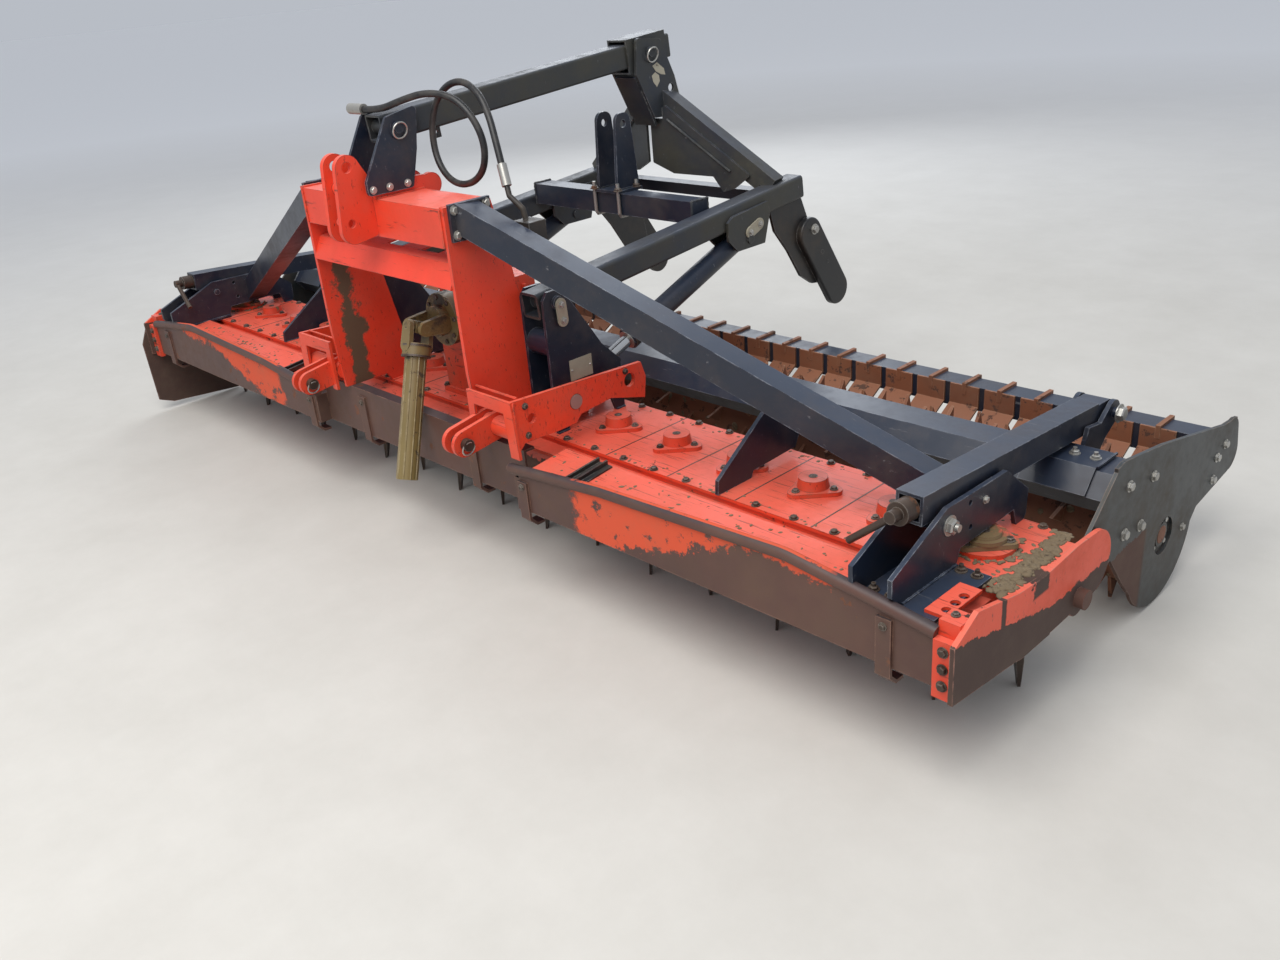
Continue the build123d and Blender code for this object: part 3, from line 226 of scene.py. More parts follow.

# %% [markdown]
# One recipe serves every painted and rusted surface here. It starts with two
# tones of the colour, gives the tops a faded tone that is partly painted
# skylight, adds fine dark scratches, flakes that show what is underneath, worn
# edges, and dust in broad clouds. Each finish only changes the numbers. A
# finish can also bring its own patch: a short function that says where another
# colour shows, such as a scraped lower rim. Bump follows the flakes and a fine
# orange peel.

# %% The recipe for a weathered finish


def weathered(
    name, colour, shade, faded_lit_top, under, edge, *, flakes, dust,
    fading_and_sky_amount=0.7, flake_scale=9.0, scratches=0.0, scratch=(0.03, 0.012, 0.008),
    edge_radius=0.004, edge_low=0.42, dust_colour=(0.19, 0.135, 0.085),
    rough=(0.38, 0.72), metal=0.0, grain=0.15, grain_scale=260.0,
    patch=None, patch_colour=(0.10, 0.045, 0.032),
):
    """Painted, rusted or dusty metal from a short list of tones and amounts"""
    material = bpy.data.materials.new(name)
    material.use_nodes = True
    tree = material.node_tree
    shader = tree.nodes["Principled BSDF"]
    broad = clouds(tree, 3.1, 5, 0.6)
    fine = clouds(tree, 38, 6, 0.65)
    tone = blend_colour(tree, cut(tree, broad, 0.35, 0.68), colour, shade)
    # sun fading and painted skylight: faces that look up take the top tone
    top_light_and_fade_mask = every(tree, faces_up_for_light_and_fade(tree), cut(tree, broad, 0.25, 0.62, 0.45, 1.0), fading_and_sky_amount)
    tone = blend_colour(tree, top_light_and_fade_mask, tone, faded_lit_top)
    if scratches:
        long = places(tree, (4, 90, 30), (0.1, 0.2, 0.62))
        lines = cut(tree, clouds(tree, 1.6, 7, 0.7, long), 0.66 - 0.1 * scratches, 0.69)
        tone = blend_colour(tree, lines, tone, scratch)
    flaked = cut(tree, clouds(tree, flake_scale, 9, 0.68, seed=2.0), flakes, flakes + 0.02)
    tone = blend_colour(tree, flaked, tone, under)
    if patch:
        bare = patch(tree)
        tone = blend_colour(tree, bare, tone, patch_colour)
        flaked = either(tree, flaked, bare)
    rims = edges(tree, edge_radius, edge_low, edge_low + 0.16)
    tone = blend_colour(tree, rims, tone, edge)
    dusty = cut(tree, clouds(tree, 5.5, 8, 0.7, seed=5.0), 0.45, 0.75)
    dusty = every(tree, dusty, cut(tree, fine, 0.3, 0.6, 0.4, 1.0))
    tone = blend_colour(tree, every(tree, dusty, dust), tone, dust_colour)
    tree.links.new(tone, shader.inputs["Base Color"])
    dull = either(tree, flaked, every(tree, dusty, 0.8))
    dull = combine(tree, "ADD", dull, every(tree, fine, 0.4))
    tree.links.new(cut(tree, dull, 0.1, 1.0, *rough), shader.inputs["Roughness"])
    shader.inputs["Metallic"].default_value = metal
    peel = clouds(tree, grain_scale, 3, 0.5)
    relief = combine(tree, "SUBTRACT", every(tree, peel, grain), flaked)
    bump = put(tree, "Bump", {"Height": relief, "Strength": 0.35, "Distance": 0.0012})
    tree.links.new(bump.outputs[0], shader.inputs["Normal"])
    return material


print("recipe ready")

# %% [markdown]
# Stones scrape a tillage tool along its lower rims, and paint comes off there
# in a ragged band. Two helpers make such bands: one lies under a height on the
# part, the other runs upright, and noise tears the border of both. Distances
# read the part's own coordinates, in metres.

# %% Bands with torn borders


def below(tree, level, slope, ragged, scale):
    """1 under a line with a torn border, level behind the rotors and sloping ahead"""
    spot = spot_on(tree)
    ahead = combine(tree, "SUBTRACT", spot["Y"], ROTOR_LINE)
    ahead = combine(tree, "MINIMUM", ahead, 0.0)
    line = combine(tree, "ADD", combine(tree, "MULTIPLY", ahead, slope), level)
    torn = combine(tree, "SUBTRACT", clouds(tree, scale, 8, 0.72, seed=7.0), 0.5)
    line = combine(tree, "ADD", line, combine(tree, "MULTIPLY", torn, ragged * 2))
    return cut(tree, combine(tree, "SUBTRACT", line, spot["Z"]), 0.0, 0.002)


def band(tree, middle, half, ragged, scale):
    """1 along an upright band at a distance from the rotor line"""
    away = distance(tree, spot_on(tree)["Y"], ROTOR_LINE + middle)
    torn = combine(tree, "MULTIPLY", clouds(tree, scale, 8, 0.72, seed=1.5), ragged)
    return cut(tree, combine(tree, "ADD", away, torn), half + 0.002, half - 0.002)


print("bands ready")

# %% [markdown]
# A patch is a short function that gives a mask, so a finish can call it. On the
# end skins, the trough and the roller's end plates it is the scraped lower
# rim. The skins also get a seam and a tear.

# %% Where the paint is scraped away


def skin_patch(tree):
    """Lower rim of the end skins, a dark seam and a tear from the top edge"""
    rim = below(tree, 0.318, -0.25, 0.030, 22.0)
    seam = band(tree, -0.222, 0.016, 0.012, 40.0)
    tear = band(tree, -0.060, 0.095, 0.120, 9.0)
    upper = cut(tree, spot_on(tree)["Z"], 0.372, 0.378)
    return either(tree, rim, seam, every(tree, tear, upper))


def trough_patch(tree):
    """Lower half of the trough, scraped and muddy"""
    return below(tree, 0.315, 0.0, 0.10, 7.0)


def plate_patch(tree):
    """Rusty front corner of the roller's end plates"""
    low = below(tree, 0.275, 0.0, 0.05, 9.0)
    front = combine(tree, "SUBTRACT", spot_on(tree)["Y"], ROTOR_LINE + 0.545)
    return every(tree, low, cut(tree, front, 0.01, -0.01))


print("scraped rims ready")

# %% [markdown]
# The other patches are dirt: mud on the end caps, smears on the headstock and
# grease on the drive joint. Only the shield is the other way round. It is
# nearly all rust, and its patch is the orange that is left.

# %% Mud, smears, grease and what is left of the orange


def cap_patch(tree):
    """Khaki mud on the two end caps, and grime round the rest"""
    outer = cut(tree, distance(tree, spot_on(tree)["X"], 0.0), 1.74, 1.76)
    caked = every(tree, outer, cut(tree, clouds(tree, 9.0, 8, 0.7), 0.40, 0.46))
    grime = cut(tree, clouds(tree, 11.0, 9, 0.72, seed=4.0), 0.60, 0.63)
    return either(tree, caked, grime)


def head_patch(tree):
    """Brown smears inside the far headstock plate, low and rubbed"""
    spot = spot_on(tree)
    inside = cut(tree, spot["X"], -0.380, -0.384)
    torn = combine(tree, "MULTIPLY", clouds(tree, 7.0, 9, 0.72, seed=6.0), 0.20)
    away = distance(tree, spot["Y"], ROTOR_LINE - 0.29)
    streak = cut(tree, combine(tree, "ADD", away, torn), 0.135, 0.125)
    under_shelf = cut(tree, spot["Z"], 0.95, 0.90)
    grime = cut(tree, clouds(tree, 8.0, 9, 0.75, seed=8.0), 0.655, 0.67)
    return either(tree, every(tree, inside, streak, under_shelf), grime)


def grease_patch(tree):
    """Black grease that has caught dirt on the drive joint"""
    return cut(tree, clouds(tree, 16.0, 8, 0.7, seed=3.5), 0.50, 0.58)


def shield_patch(tree):
    """Orange left on the side sheets: their whole height inwards, a thin strip outwards"""
    spot = spot_on(tree)
    out = distance(tree, spot["X"], 0.0)
    torn = cut(tree, clouds(tree, 11.0, 9, 0.78, seed=3.0), 0.3, 0.7, -0.045, 0.045)
    line = combine(tree, "ADD", cut(tree, out, 0.98, 1.45, 0.27, 0.425), torn)
    above_line = cut(tree, combine(tree, "SUBTRACT", spot["Z"], line), 0.0, 0.006)
    reach = combine(tree, "ADD", out, torn)
    sheet = combine(tree, "SUBTRACT", spot["Y"], ROTOR_LINE - 0.387)
    worn = clouds(tree, 19.0, 9, 0.75, seed=9.0)
    return every(
        tree, above_line, cut(tree, reach, 0.84, 0.86), cut(tree, reach, 1.74, 1.70),
        cut(tree, sheet, 0.0, 0.001), cut(tree, worn, 0.60, 0.57),
    )


print("patches ready")

# %% [markdown]
# The colours were judged against sunlit and shaded parts of the real machine:
# a bright orange red that turns salmon on top, partly faded and partly painted
# skylight, a blue so dark that it reads as black in the shade, and earth brown
# wherever soil has rubbed. Each finish lists five tones: the colour, its shade,
# its top with sun fading and painted skylight, what shows under a flake, and
# the worn edges.

# %% Paints
SOILED_ORANGE = (
    (0.72, 0.066, 0.026), (0.54, 0.048, 0.021), (0.82, 0.16, 0.11),
    (0.085, 0.038, 0.026), (0.13, 0.050, 0.034),
)
orange = weathered(
    "orange_paint", (0.80, 0.066, 0.024), (0.64, 0.048, 0.019), (0.86, 0.17, 0.115),
    (0.060, 0.026, 0.018), (0.13, 0.050, 0.034),
    flakes=0.635, flake_scale=13, scratches=1.0, dust=0.34, edge_low=0.44,
)
head_orange = weathered(
    "headstock_paint", (0.82, 0.060, 0.024), (0.66, 0.045, 0.019), (0.86, 0.19, 0.14),
    (0.080, 0.034, 0.022), (0.13, 0.050, 0.034),
    flakes=0.66, scratches=0.7, dust=0.22, edge_low=0.42,
    patch=head_patch, patch_colour=(0.105, 0.060, 0.032),
)
skin_orange = weathered(
    "end_skin_paint", (0.80, 0.085, 0.030), (0.70, 0.066, 0.024), (0.86, 0.18, 0.12),
    (0.055, 0.026, 0.020), (0.42, 0.20, 0.15),
    flakes=0.66, scratches=0.6, dust=0.28, patch=skin_patch, patch_colour=(0.062, 0.032, 0.024),
)
trough_orange = weathered(
    "trough_paint", *SOILED_ORANGE,
    flakes=0.60, scratches=0.8, dust=0.55, patch=trough_patch,
)
cap_orange = weathered(
    "cap_paint", *SOILED_ORANGE,
    flakes=0.63, scratches=0.8, dust=0.65, patch=cap_patch, patch_colour=(0.185, 0.125, 0.055),
)
navy = weathered(
    "navy_paint", (0.012, 0.018, 0.034), (0.008, 0.012, 0.022), (0.046, 0.062, 0.100),
    (0.026, 0.020, 0.018), (0.25, 0.27, 0.31),
    flakes=0.69, flake_scale=12, edge_low=0.45, edge_radius=0.004, dust=0.22,
    rough=(0.28, 0.62), scratches=0.45, scratch=(0.13, 0.135, 0.15),
)
grimy_navy = weathered(
    "grimy_navy_paint", (0.017, 0.023, 0.036), (0.038, 0.037, 0.027), (0.050, 0.060, 0.090),
    (0.030, 0.022, 0.020), (0.22, 0.22, 0.22),
    flakes=0.67, edge_low=0.46, dust=0.75, dust_colour=(0.070, 0.063, 0.042),
    rough=(0.35, 0.75), scratches=0.35, scratch=(0.11, 0.11, 0.115),
)
plate_paint = weathered(
    "end_plate_paint", (0.017, 0.023, 0.026), (0.011, 0.015, 0.017), (0.045, 0.055, 0.065),
    (0.045, 0.028, 0.022), (0.20, 0.15, 0.12),
    flakes=0.68, dust=0.40, rough=(0.35, 0.75),
    patch=plate_patch, patch_colour=(0.085, 0.040, 0.028),
)
print("paints", len(bpy.data.materials))

# %% [markdown]
# Bare iron comes in several ages. The shield is dark brown with orange left on
# it, the packer and its scrapers are bright with fresh rust, the tines and
# cranks are nearly black, the drive shaft keeps a dirty yellow, and rings,
# couplings and many of the bolts are zinc plated.

# %% Iron, zinc and chrome
brown = weathered(
    "rusted_shield", (0.105, 0.047, 0.034), (0.070, 0.032, 0.026), (0.034, 0.034, 0.042),
    (0.16, 0.060, 0.032), (0.30, 0.16, 0.11),
    fading_and_sky_amount=0.95, flakes=0.62, flake_scale=14, dust=0.35, rough=(0.45, 0.85),
    patch=shield_patch, patch_colour=(0.66, 0.085, 0.032),
)
rust = weathered(
    "rusty_steel", (0.225, 0.080, 0.036), (0.135, 0.050, 0.028), (0.30, 0.12, 0.06),
    (0.075, 0.033, 0.022), (0.36, 0.20, 0.12),
    flakes=0.57, flake_scale=22, dust=0.35, rough=(0.55, 0.9), grain=0.5, grain_scale=140,
)
dark_iron = weathered(
    "dark_iron", (0.055, 0.035, 0.026), (0.035, 0.023, 0.018), (0.09, 0.06, 0.045),
    (0.15, 0.06, 0.03), (0.26, 0.23, 0.20),
    flakes=0.60, flake_scale=25, dust=0.4, rough=(0.4, 0.8), metal=0.3,
)
ochre = weathered(
    "ochre_shaft", (0.20, 0.145, 0.050), (0.13, 0.090, 0.034), (0.28, 0.22, 0.10),
    (0.050, 0.036, 0.022), (0.40, 0.33, 0.20),
    flakes=0.60, flake_scale=20, dust=0.35, rough=(0.35, 0.75),
)
greasy = weathered(
    "greasy_joint", (0.20, 0.140, 0.045), (0.13, 0.090, 0.034), (0.28, 0.22, 0.10),
    (0.050, 0.036, 0.022), (0.38, 0.31, 0.18),
    flakes=0.62, flake_scale=20, dust=0.35, rough=(0.28, 0.6),
    patch=grease_patch, patch_colour=(0.028, 0.022, 0.014),
)
zinc = weathered(
    "zinc_steel", (0.46, 0.45, 0.42), (0.34, 0.33, 0.30), (0.55, 0.54, 0.50),
    (0.16, 0.085, 0.045), (0.62, 0.61, 0.58),
    flakes=0.66, flake_scale=60, dust=0.25, rough=(0.28, 0.6), metal=0.75,
)
chrome = weathered(
    "bright_rod", (0.58, 0.58, 0.58), (0.50, 0.50, 0.49), (0.64, 0.64, 0.64),
    (0.20, 0.13, 0.08), (0.7, 0.7, 0.7),
    flakes=0.72, flake_scale=40, dust=0.2, rough=(0.12, 0.4), metal=1.0,
)
black = weathered(
    "black_enamel", (0.012, 0.012, 0.013), (0.008, 0.008, 0.009), (0.030, 0.030, 0.032),
    (0.06, 0.035, 0.025), (0.20, 0.19, 0.18),
    flakes=0.68, flake_scale=30, dust=0.35, rough=(0.3, 0.7),
)
cream = weathered(
    "cream_plate", (0.42, 0.39, 0.30), (0.33, 0.30, 0.22), (0.48, 0.45, 0.36),
    (0.12, 0.10, 0.07), (0.24, 0.21, 0.16),
    flakes=0.66, flake_scale=40, dust=0.5, rough=(0.4, 0.7),
)
mud = weathered(
    "dried_mud", (0.150, 0.108, 0.060), (0.095, 0.066, 0.038), (0.20, 0.15, 0.09),
    (0.060, 0.042, 0.026), (0.22, 0.17, 0.11),
    flakes=0.60, flake_scale=40, dust=0.5, rough=(0.85, 0.98), grain=0.9, grain_scale=90,
)
print("finishes", len(bpy.data.materials))

# %% [markdown]
# Each CAD node keeps its shape and only gets a finish in its material slots.
# A table from finish to nodes is easy to read and to change.

# %% Finishes on the CAD nodes
rotors = [f"rotor_{n + 1:02d}" for n in range(ROTOR_COUNT)]
finish_of = {
    orange: ["trough_cover", "corner_brackets", "front_ledge", "lower_hitch"],
    head_orange: ["headstock_plates", "headstock_beam", "top_link_clevis"],
    skin_orange: ["end_skins", "side_deflector"],
    trough_orange: ["gear_trough", "gearbox"],
    cap_orange: ["bearing_caps"],
    navy: [
        "stay_brackets", "braces", "cover_gussets", "spindle_brackets", "hitch_supports",
        "roller_beam", "scraper_beam", "spindle_saddles", "spindle_tubes",
        "spindle_trunnions", "clevis_posts", "hitch_cross_bars", "ram_barrels",
    ],
    grimy_navy: ["hitch_arms", "hitch_mast", "top_stay", "stay_sleeve"],
    plate_paint: ["roller_end_plates"],
    brown: ["front_shield"],
    rust: ["scrapers", "packer_roller"],
    dark_iron: ["lower_hitch_pins", "spindle_cranks", *rotors],
    ochre: ["half_shaft"],
    greasy: ["slip_clutch", "joint_cross"],
    black: ["valve_block", "drill_hooks"],
    zinc: ["hose_couplings"],
    chrome: ["ram_rods"],
}
for finish, names in finish_of.items():
    for name in names:
        slots = nodes[name].data.materials
        for index in range(len(slots)):
            slots[index] = finish
        if not slots:
            slots.append(finish)
painted = [name for names in finish_of.values() for name in names]
print("painted", len(painted), "left", sorted(set(nodes) - set(painted)))

# %% [markdown]
# The floor is wide, pale and slightly mottled, and turns paler with distance:
# painted light that makes up for the lamp's light falling off.
# The sky lights the scene as a soft overcast one, but what the camera sees of
# it has the far floor's own tone, picked with the Light Path node, so that the
# horizon melts away. A large lamp overhead gives the gentle shadow, and a
# weaker one lifts the far side.

# %% Floor and light
BACKDROP = (0.775, 0.82, 0.90)
FAR_FLOOR_PAINTED_LIGHT = (0.90, 0.90, 0.90)
NEAR, FAR = 3.0, 14.0  # metres over which the floor turns paler
bpy.ops.mesh.primitive_grid_add(x_subdivisions=8, y_subdivisions=8, size=160)
floor = bpy.context.object
floor.name = "floor"
ground = bpy.data.materials.new("pale_ground")
ground.use_nodes = True
tree = ground.node_tree
mottle = cut(tree, clouds(tree, 2.2, 8, 0.7), 0.3, 0.7)
tone = blend_colour(tree, mottle, (0.56, 0.54, 0.50), (0.63, 0.61, 0.57))
spot = put(tree, "TexCoord").outputs["Object"]
away = put(tree, "VectorMath", {0: spot}, operation="LENGTH").outputs["Value"]
# painted light: the floor turns paler with distance, where the lamp's light falls off
tone = blend_colour(tree, cut(tree, away, NEAR, FAR), tone, FAR_FLOOR_PAINTED_LIGHT)
shader = tree.nodes["Principled BSDF"]
tree.links.new(tone, shader.inputs["Base Color"])
shader.inputs["Roughness"].default_value = 0.95
floor.data.materials.append(ground)

sky = bpy.data.worlds.new("overcast")
bpy.context.scene.world = sky
sky.use_nodes = True
tree = sky.node_tree
seen = put(tree, "LightPath").outputs["Is Camera Ray"]
tone = blend_colour(tree, seen, (0.86, 0.91, 1.0), BACKDROP)
tree.links.new(tone, tree.nodes["Background"].inputs["Color"])
tree.nodes["Background"].inputs["Strength"].default_value = 0.62


def lamp(name, place, aim, size, power, colour):
    """A large square lamp that looks at a point"""
    light = bpy.data.lights.new(name, "AREA")
    light.size = size
    light.energy = power
    light.color = colour
    holder = add(name, light)
    holder.location = place
    looking = Vector(aim) - Vector(place)
    holder.rotation_euler = looking.to_track_quat("-Z", "Y").to_euler()


lamp("sky_panel", (1.5, -3.5, 6.0), (0, 0, 0.3), 5.0, 420, (1.0, 0.98, 0.94))
lamp("rear_panel", (-4.0, 4.5, 4.0), (0, 0.3, 0.5), 4.0, 130, (0.92, 0.96, 1.0))
bpy.context.scene.view_settings.view_transform = "Standard"
print("lights", len(bpy.data.lights))

# %% [markdown]
# The hydraulic hose leaves the valve behind the right brace, rises, makes one
# loose coil and ends in a quick coupling that lies on the stay's brackets. A
# hose is a smooth curve, so it is a NURBS spline with the route's points as
# its control points and a round bevel. The list below runs from the coupling
# back to the valve, and the spline takes it the other way round.

# %% Hydraulic hose
HOSE = [
    (-50, -295, 1378.5), (35, -295, 1378.5), (115, -268, 1404), (200, -236, 1424),
    (290, -210, 1412), (355, -198, 1360), (388, -192, 1290), (372, -190, 1218),
    (310, -186, 1172), (225, -180, 1155), (150, -172, 1172), (96, -164, 1222),
    (80, -156, 1300), (104, -148, 1376), (166, -142, 1430), (250, -142, 1446),
    (330, -150, 1418), (386, -164, 1360), (424, -180, 1295), (451, -190, 1232),
]
rubber = bpy.data.materials.new("hose_rubber")
rubber.use_nodes = True
tree = rubber.node_tree
shader = tree.nodes["Principled BSDF"]
braid = clouds(tree, 420, 2, 0.4)
dust = cut(tree, clouds(tree, 14, 7, 0.7), 0.45, 0.75, 0.0, 0.6)
tone = blend_colour(tree, dust, (0.012, 0.012, 0.013), (0.11, 0.095, 0.08))
tree.links.new(tone, shader.inputs["Base Color"])
tree.links.new(cut(tree, dust, 0, 0.6, 0.42, 0.8), shader.inputs["Roughness"])
bump = put(tree, "Bump", {"Height": braid, "Strength": 0.25, "Distance": 0.0006})
tree.links.new(bump.outputs[0], shader.inputs["Normal"])

line = bpy.data.curves.new("hydraulic_line", "CURVE")
line.dimensions = "3D"
line.bevel_depth = 0.010
line.bevel_resolution = 5
line.resolution_u = 16
line.use_fill_caps = True
run = line.splines.new("NURBS")
run.points.add(len(HOSE) - 1)
for point, place in zip(run.points, reversed(HOSE)):
    point.co = (*at(*place), 1)
run.order_u = 3
run.use_endpoint_u = True
line.materials.append(rubber)
hose = add("hydraulic_line", line)
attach(hose, "frame")
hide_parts("hydraulic_hose")
print("hose points", len(HOSE))

# %% [markdown]
# Small parts are made as meshes with a few helpers: a standing prism for bolt
# heads and discs, a tube along points for rings, rods and weld beads, and a
# slab for plates cut from an outline. All of them only add to a mesh.

# %% Mesh helpers


def standing(place, normal, turn):
    """Matrix that stands a shape on a place along a normal"""
    aim = Vector(normal).to_track_quat("Z", "Y").to_matrix().to_4x4()
    return Matrix.Translation(place) @ aim @ Matrix.Rotation(turn, 4, "Z")


def prism(bm, place, normal, radius, height, sides, tip=None, turn=0.0):
    """Disc, hexagon or cone, in millimetres, standing on a place"""
    lift = Matrix.Translation((0, 0, height / 2000))
    bmesh.ops.create_cone(
        bm, cap_ends=True, segments=sides, radius1=radius / 1000,
        radius2=(radius if tip is None else tip) / 1000, depth=height / 1000,
        matrix=standing(place, normal, turn) @ lift,
    )


def tube(bm, points, radius, sides, closed=False, lumpy=0.0):
    """Round bar through points; lumpy makes it a weld bead"""
    count = len(points)
    across = None
    rings = []
    for i, point in enumerate(points):
        before = points[i - 1] if i or closed else point
        after = points[(i + 1) % count] if i < count - 1 or closed else point
        ahead = (after - before).normalized()
        across = across or ahead.orthogonal()
        across = (across - ahead * across.dot(ahead)).normalized()
        side = ahead.cross(across)
        size = radius / 1000 * (1 + lumpy * random.uniform(-1, 1))
        ring = []
        for k in range(sides):
            angle = 2 * math.pi * k / sides
            out = math.cos(angle) * across + math.sin(angle) * side
            ring.append(bm.verts.new(point + out * size))
        rings.append(ring)
    for a, b in zip(rings, rings[1:] + (rings[:1] if closed else [])):
        for k in range(sides):
            bm.faces.new((a[k], a[(k + 1) % sides], b[(k + 1) % sides], b[k]))
    if not closed:
        bm.faces.new(reversed(rings[0]))
        bm.faces.new(rings[-1])


def outline(x, spots):
    """Points of a plane across X, from their Y and Z"""
    return [at(x, y, z) for y, z in spots]


def slab(bm, rim, lift):
    """Plate: an outline of points raised by a vector"""
    low = [bm.verts.new(point) for point in rim]
    high = [bm.verts.new(point + lift) for point in rim]
    bm.faces.new(reversed(low))
    bm.faces.new(high)
    for a in range(len(rim)):
        b = (a + 1) % len(rim)
        bm.faces.new((low[a], low[b], high[b], high[a]))


print("mesh helpers ready")

# %% [markdown]
# Many like parts go into one mesh, which keeps the scene light and each table
# of places short. The finished mesh gets one finish and rides on a body of the
# frame. Random numbers start from a seed, so each run gives the same picture.

# %% From a mesh to a piece


def show(mesh, finish, body):
    """Smooth mesh as an object with its finish, riding on a body"""
    mesh.polygons.foreach_set("use_smooth", [True] * len(mesh.polygons))
    mesh.materials.append(finish)
    made = add(mesh.name, mesh)
    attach(made, body)
    print(mesh.name, "faces", len(mesh.polygons))


def piece(name, bm, finish, body, crease=35):
    """Turn the collected faces into a piece with sharp edges where it bends"""
    bmesh.ops.recalc_face_normals(bm, faces=bm.faces)
    mesh = bpy.data.meshes.new(name)
    bm.to_mesh(mesh)
    bm.free()
    show(mesh, finish, body)
    mesh.set_sharp_from_angle(angle=math.radians(crease))


random.seed(16)
print("random numbers seeded")

# %% [markdown]
# A hexagon bolt is a washer, a six sided head and a thin chamfer on top. Each
# one is turned by a random angle, as a fitter would leave it. The cover has a
# row of them along both edges, with gaps where something else stands.

# %% Bolts of the cover
WASHER = 2.5
HEAD = 0.55  # height of a head, in radii
STUD = 8
UP = (0, 0, 1)


def bolt(bm, place, normal, radius, washer=1.3):
    """Hexagon head with a chamfer, on its washer"""
    way = Vector(normal).normalized()
    turn = random.uniform(0, 1)
    if washer:
        prism(bm, place, way, radius * washer, WASHER, 20)
        place = place + way * (WASHER / 1000)
    prism(bm, place, way, radius, radius * HEAD, 6, turn=turn)
    top = place + way * radius * (HEAD / 1000)
    prism(bm, top, way, radius, radius * 0.16, 6, tip=radius * 0.8, turn=turn)


def nut(bm, place, normal, radius):
    """Nut with the end of its bolt standing out"""
    bolt(bm, place, normal, radius)
    way = Vector(normal).normalized()
    prism(bm, place + way * radius * 0.0009, way, radius * 0.5, STUD, 12)


def both(x, y, z):
    """A place and its mirror image"""
    return (x, y, z), (-x, y, z)


def outward(x):
    """The way a side face at x looks"""
    return (math.copysign(1, x), 0, 0)


COVER_TOP = 415
BOLT_COUNT = 32
BOLT_PITCH = 125
BOLT_ROW = 160
cover_bolts = bmesh.new()
# where something else stands on the cover: distance from the middle, half width
blocked = [(0, 145), (392, 24), (505, 16), (1187.5, 12), (1775, 14)]
for k in range(BOLT_COUNT):
    x = BOLT_PITCH * (k - (BOLT_COUNT - 1) / 2)
    for y in (-BOLT_ROW, BOLT_ROW):
        if any(abs(abs(x) - middle) < half for middle, half in blocked):
            continue
        if y < 0 and 1755 < abs(x) < 1985:  # the spindle brackets' feet
            continue
        bolt(cover_bolts, at(x, y, COVER_TOP), UP, 9.5)
piece("cover_bolts", cover_bolts, dark_iron, "frame")

# %% [markdown]
# Every rotor shaft ends under a lobed cap with three bolts and a small plug in
# the middle. The caps under the gearbox are hidden, so they get none.

# %% Cap bolts and plugs
CAP_FOOT = 12
END_PLATE = 12  # under the two outermost caps only
CAP_CROWN = 455
CAP_CIRCLE = 58
cap_bolts = bmesh.new()
for x in ROTOR_X:
    if abs(x) < 180:  # under the gearbox
        continue
    outermost = abs(x) == ROTOR_X[-1]
    seat = COVER_TOP + CAP_FOOT + (END_PLATE if outermost else 0)
    for k in range(3):
        angle = math.radians(15 + 120 * k)
        spot = at(x + CAP_CIRCLE * math.cos(angle), CAP_CIRCLE * math.sin(angle), seat)
        bolt(cap_bolts, spot, UP, 10 if outermost else 8.5)
    prism(cap_bolts, at(x, 0, CAP_CROWN), UP, 12, 1.2, 24)
    prism(cap_bolts, at(x, 0, CAP_CROWN + 1), UP, 5, 2, 12, tip=3)
piece("cap_bolts", cap_bolts, dark_iron, "frame")

# %% [markdown]
# The cover is laid in lengths, with a dark seam half way between the shafts.
# A thin strip of packed dirt shows each seam better than a groove would.

# %% Seams in the cover
SEAM_HALF, COVER_HALF = 2, 171
seams = bmesh.new()
for k in range(-7, 8):
    x = ROTOR_PITCH * k
    if abs(x) < 160 or abs(x) == 500:  # under the gearbox and the support boxes
        continue
    corners = [(-1, -1), (1, -1), (1, 1), (-1, 1)]
    rim = [at(x + SEAM_HALF * i, COVER_HALF * j, COVER_TOP) for i, j in corners]
    slab(seams, rim, Vector((0, 0, 0.0006)))
piece("cover_seams", seams, dark_iron, "frame")

# %% [markdown]
# The rest of the frame's bolts come from one table. Each row says which mesh
# they go into, whether they are bolt heads or nuts, which way they face, how
# big they are and where they sit. All of them are mirrored.

# %% Bolts on the frame
zinc_bolts = bmesh.new()
dark_bolts = bmesh.new()
SIDE, FRONT = (1, 0, 0), (0, -1, 0)
frame_bolts = [
    # mesh, what, facing, radius, places
    (zinc_bolts, bolt, SIDE, 11, [
        (411, -342, 1061), (411, -342, 1131), (411, -233, 1061), (411, -233, 1131),
    ]),
    (zinc_bolts, bolt, SIDE, 9, [(70, -382, 1166), (70, -325, 1166), (70, -262, 1166)]),
    (zinc_bolts, nut, SIDE, 19, [(1882, -168, 540)]),
    (zinc_bolts, bolt, SIDE, 8, [(1882, -20, 545)]),
    (dark_bolts, bolt, SIDE, 8, [(607, -335, 590), (607, -335, 500), (607, 60, 575)]),
    (dark_bolts, nut, UP, 11, [
        (1800, -335, 425), (1845, -335, 425),
        (1945, -150, 425), (1905, -150, 425), (1820, -150, 425),
    ]),
    (dark_bolts, bolt, FRONT, 10, [(2015, -397, 300), (2015, -397, 342), (2015, -397, 384)]),
    (dark_bolts, bolt, FRONT, 8, [(320, -348, 400), (620, -393, 360), (1865, -393, 385)]),
    (dark_bolts, bolt, UP, 8, [(2010, -345, 446)]),
]
for bm, fastener, facing, radius, spots in frame_bolts:
    for spot in spots:
        for x, y, z in both(*spot):
            way = outward(x) if facing == SIDE else facing
            fastener(bm, at(x, y, z), way, radius)
piece("frame_zinc_bolts", zinc_bolts, zinc, "frame")
piece("frame_dark_bolts", dark_bolts, dark_iron, "frame")

# %% [markdown]
# Pins are held by spring rings. A ring is a thin closed tube that hangs at the
# pin's end and leans a little, and each one has its mirror image.

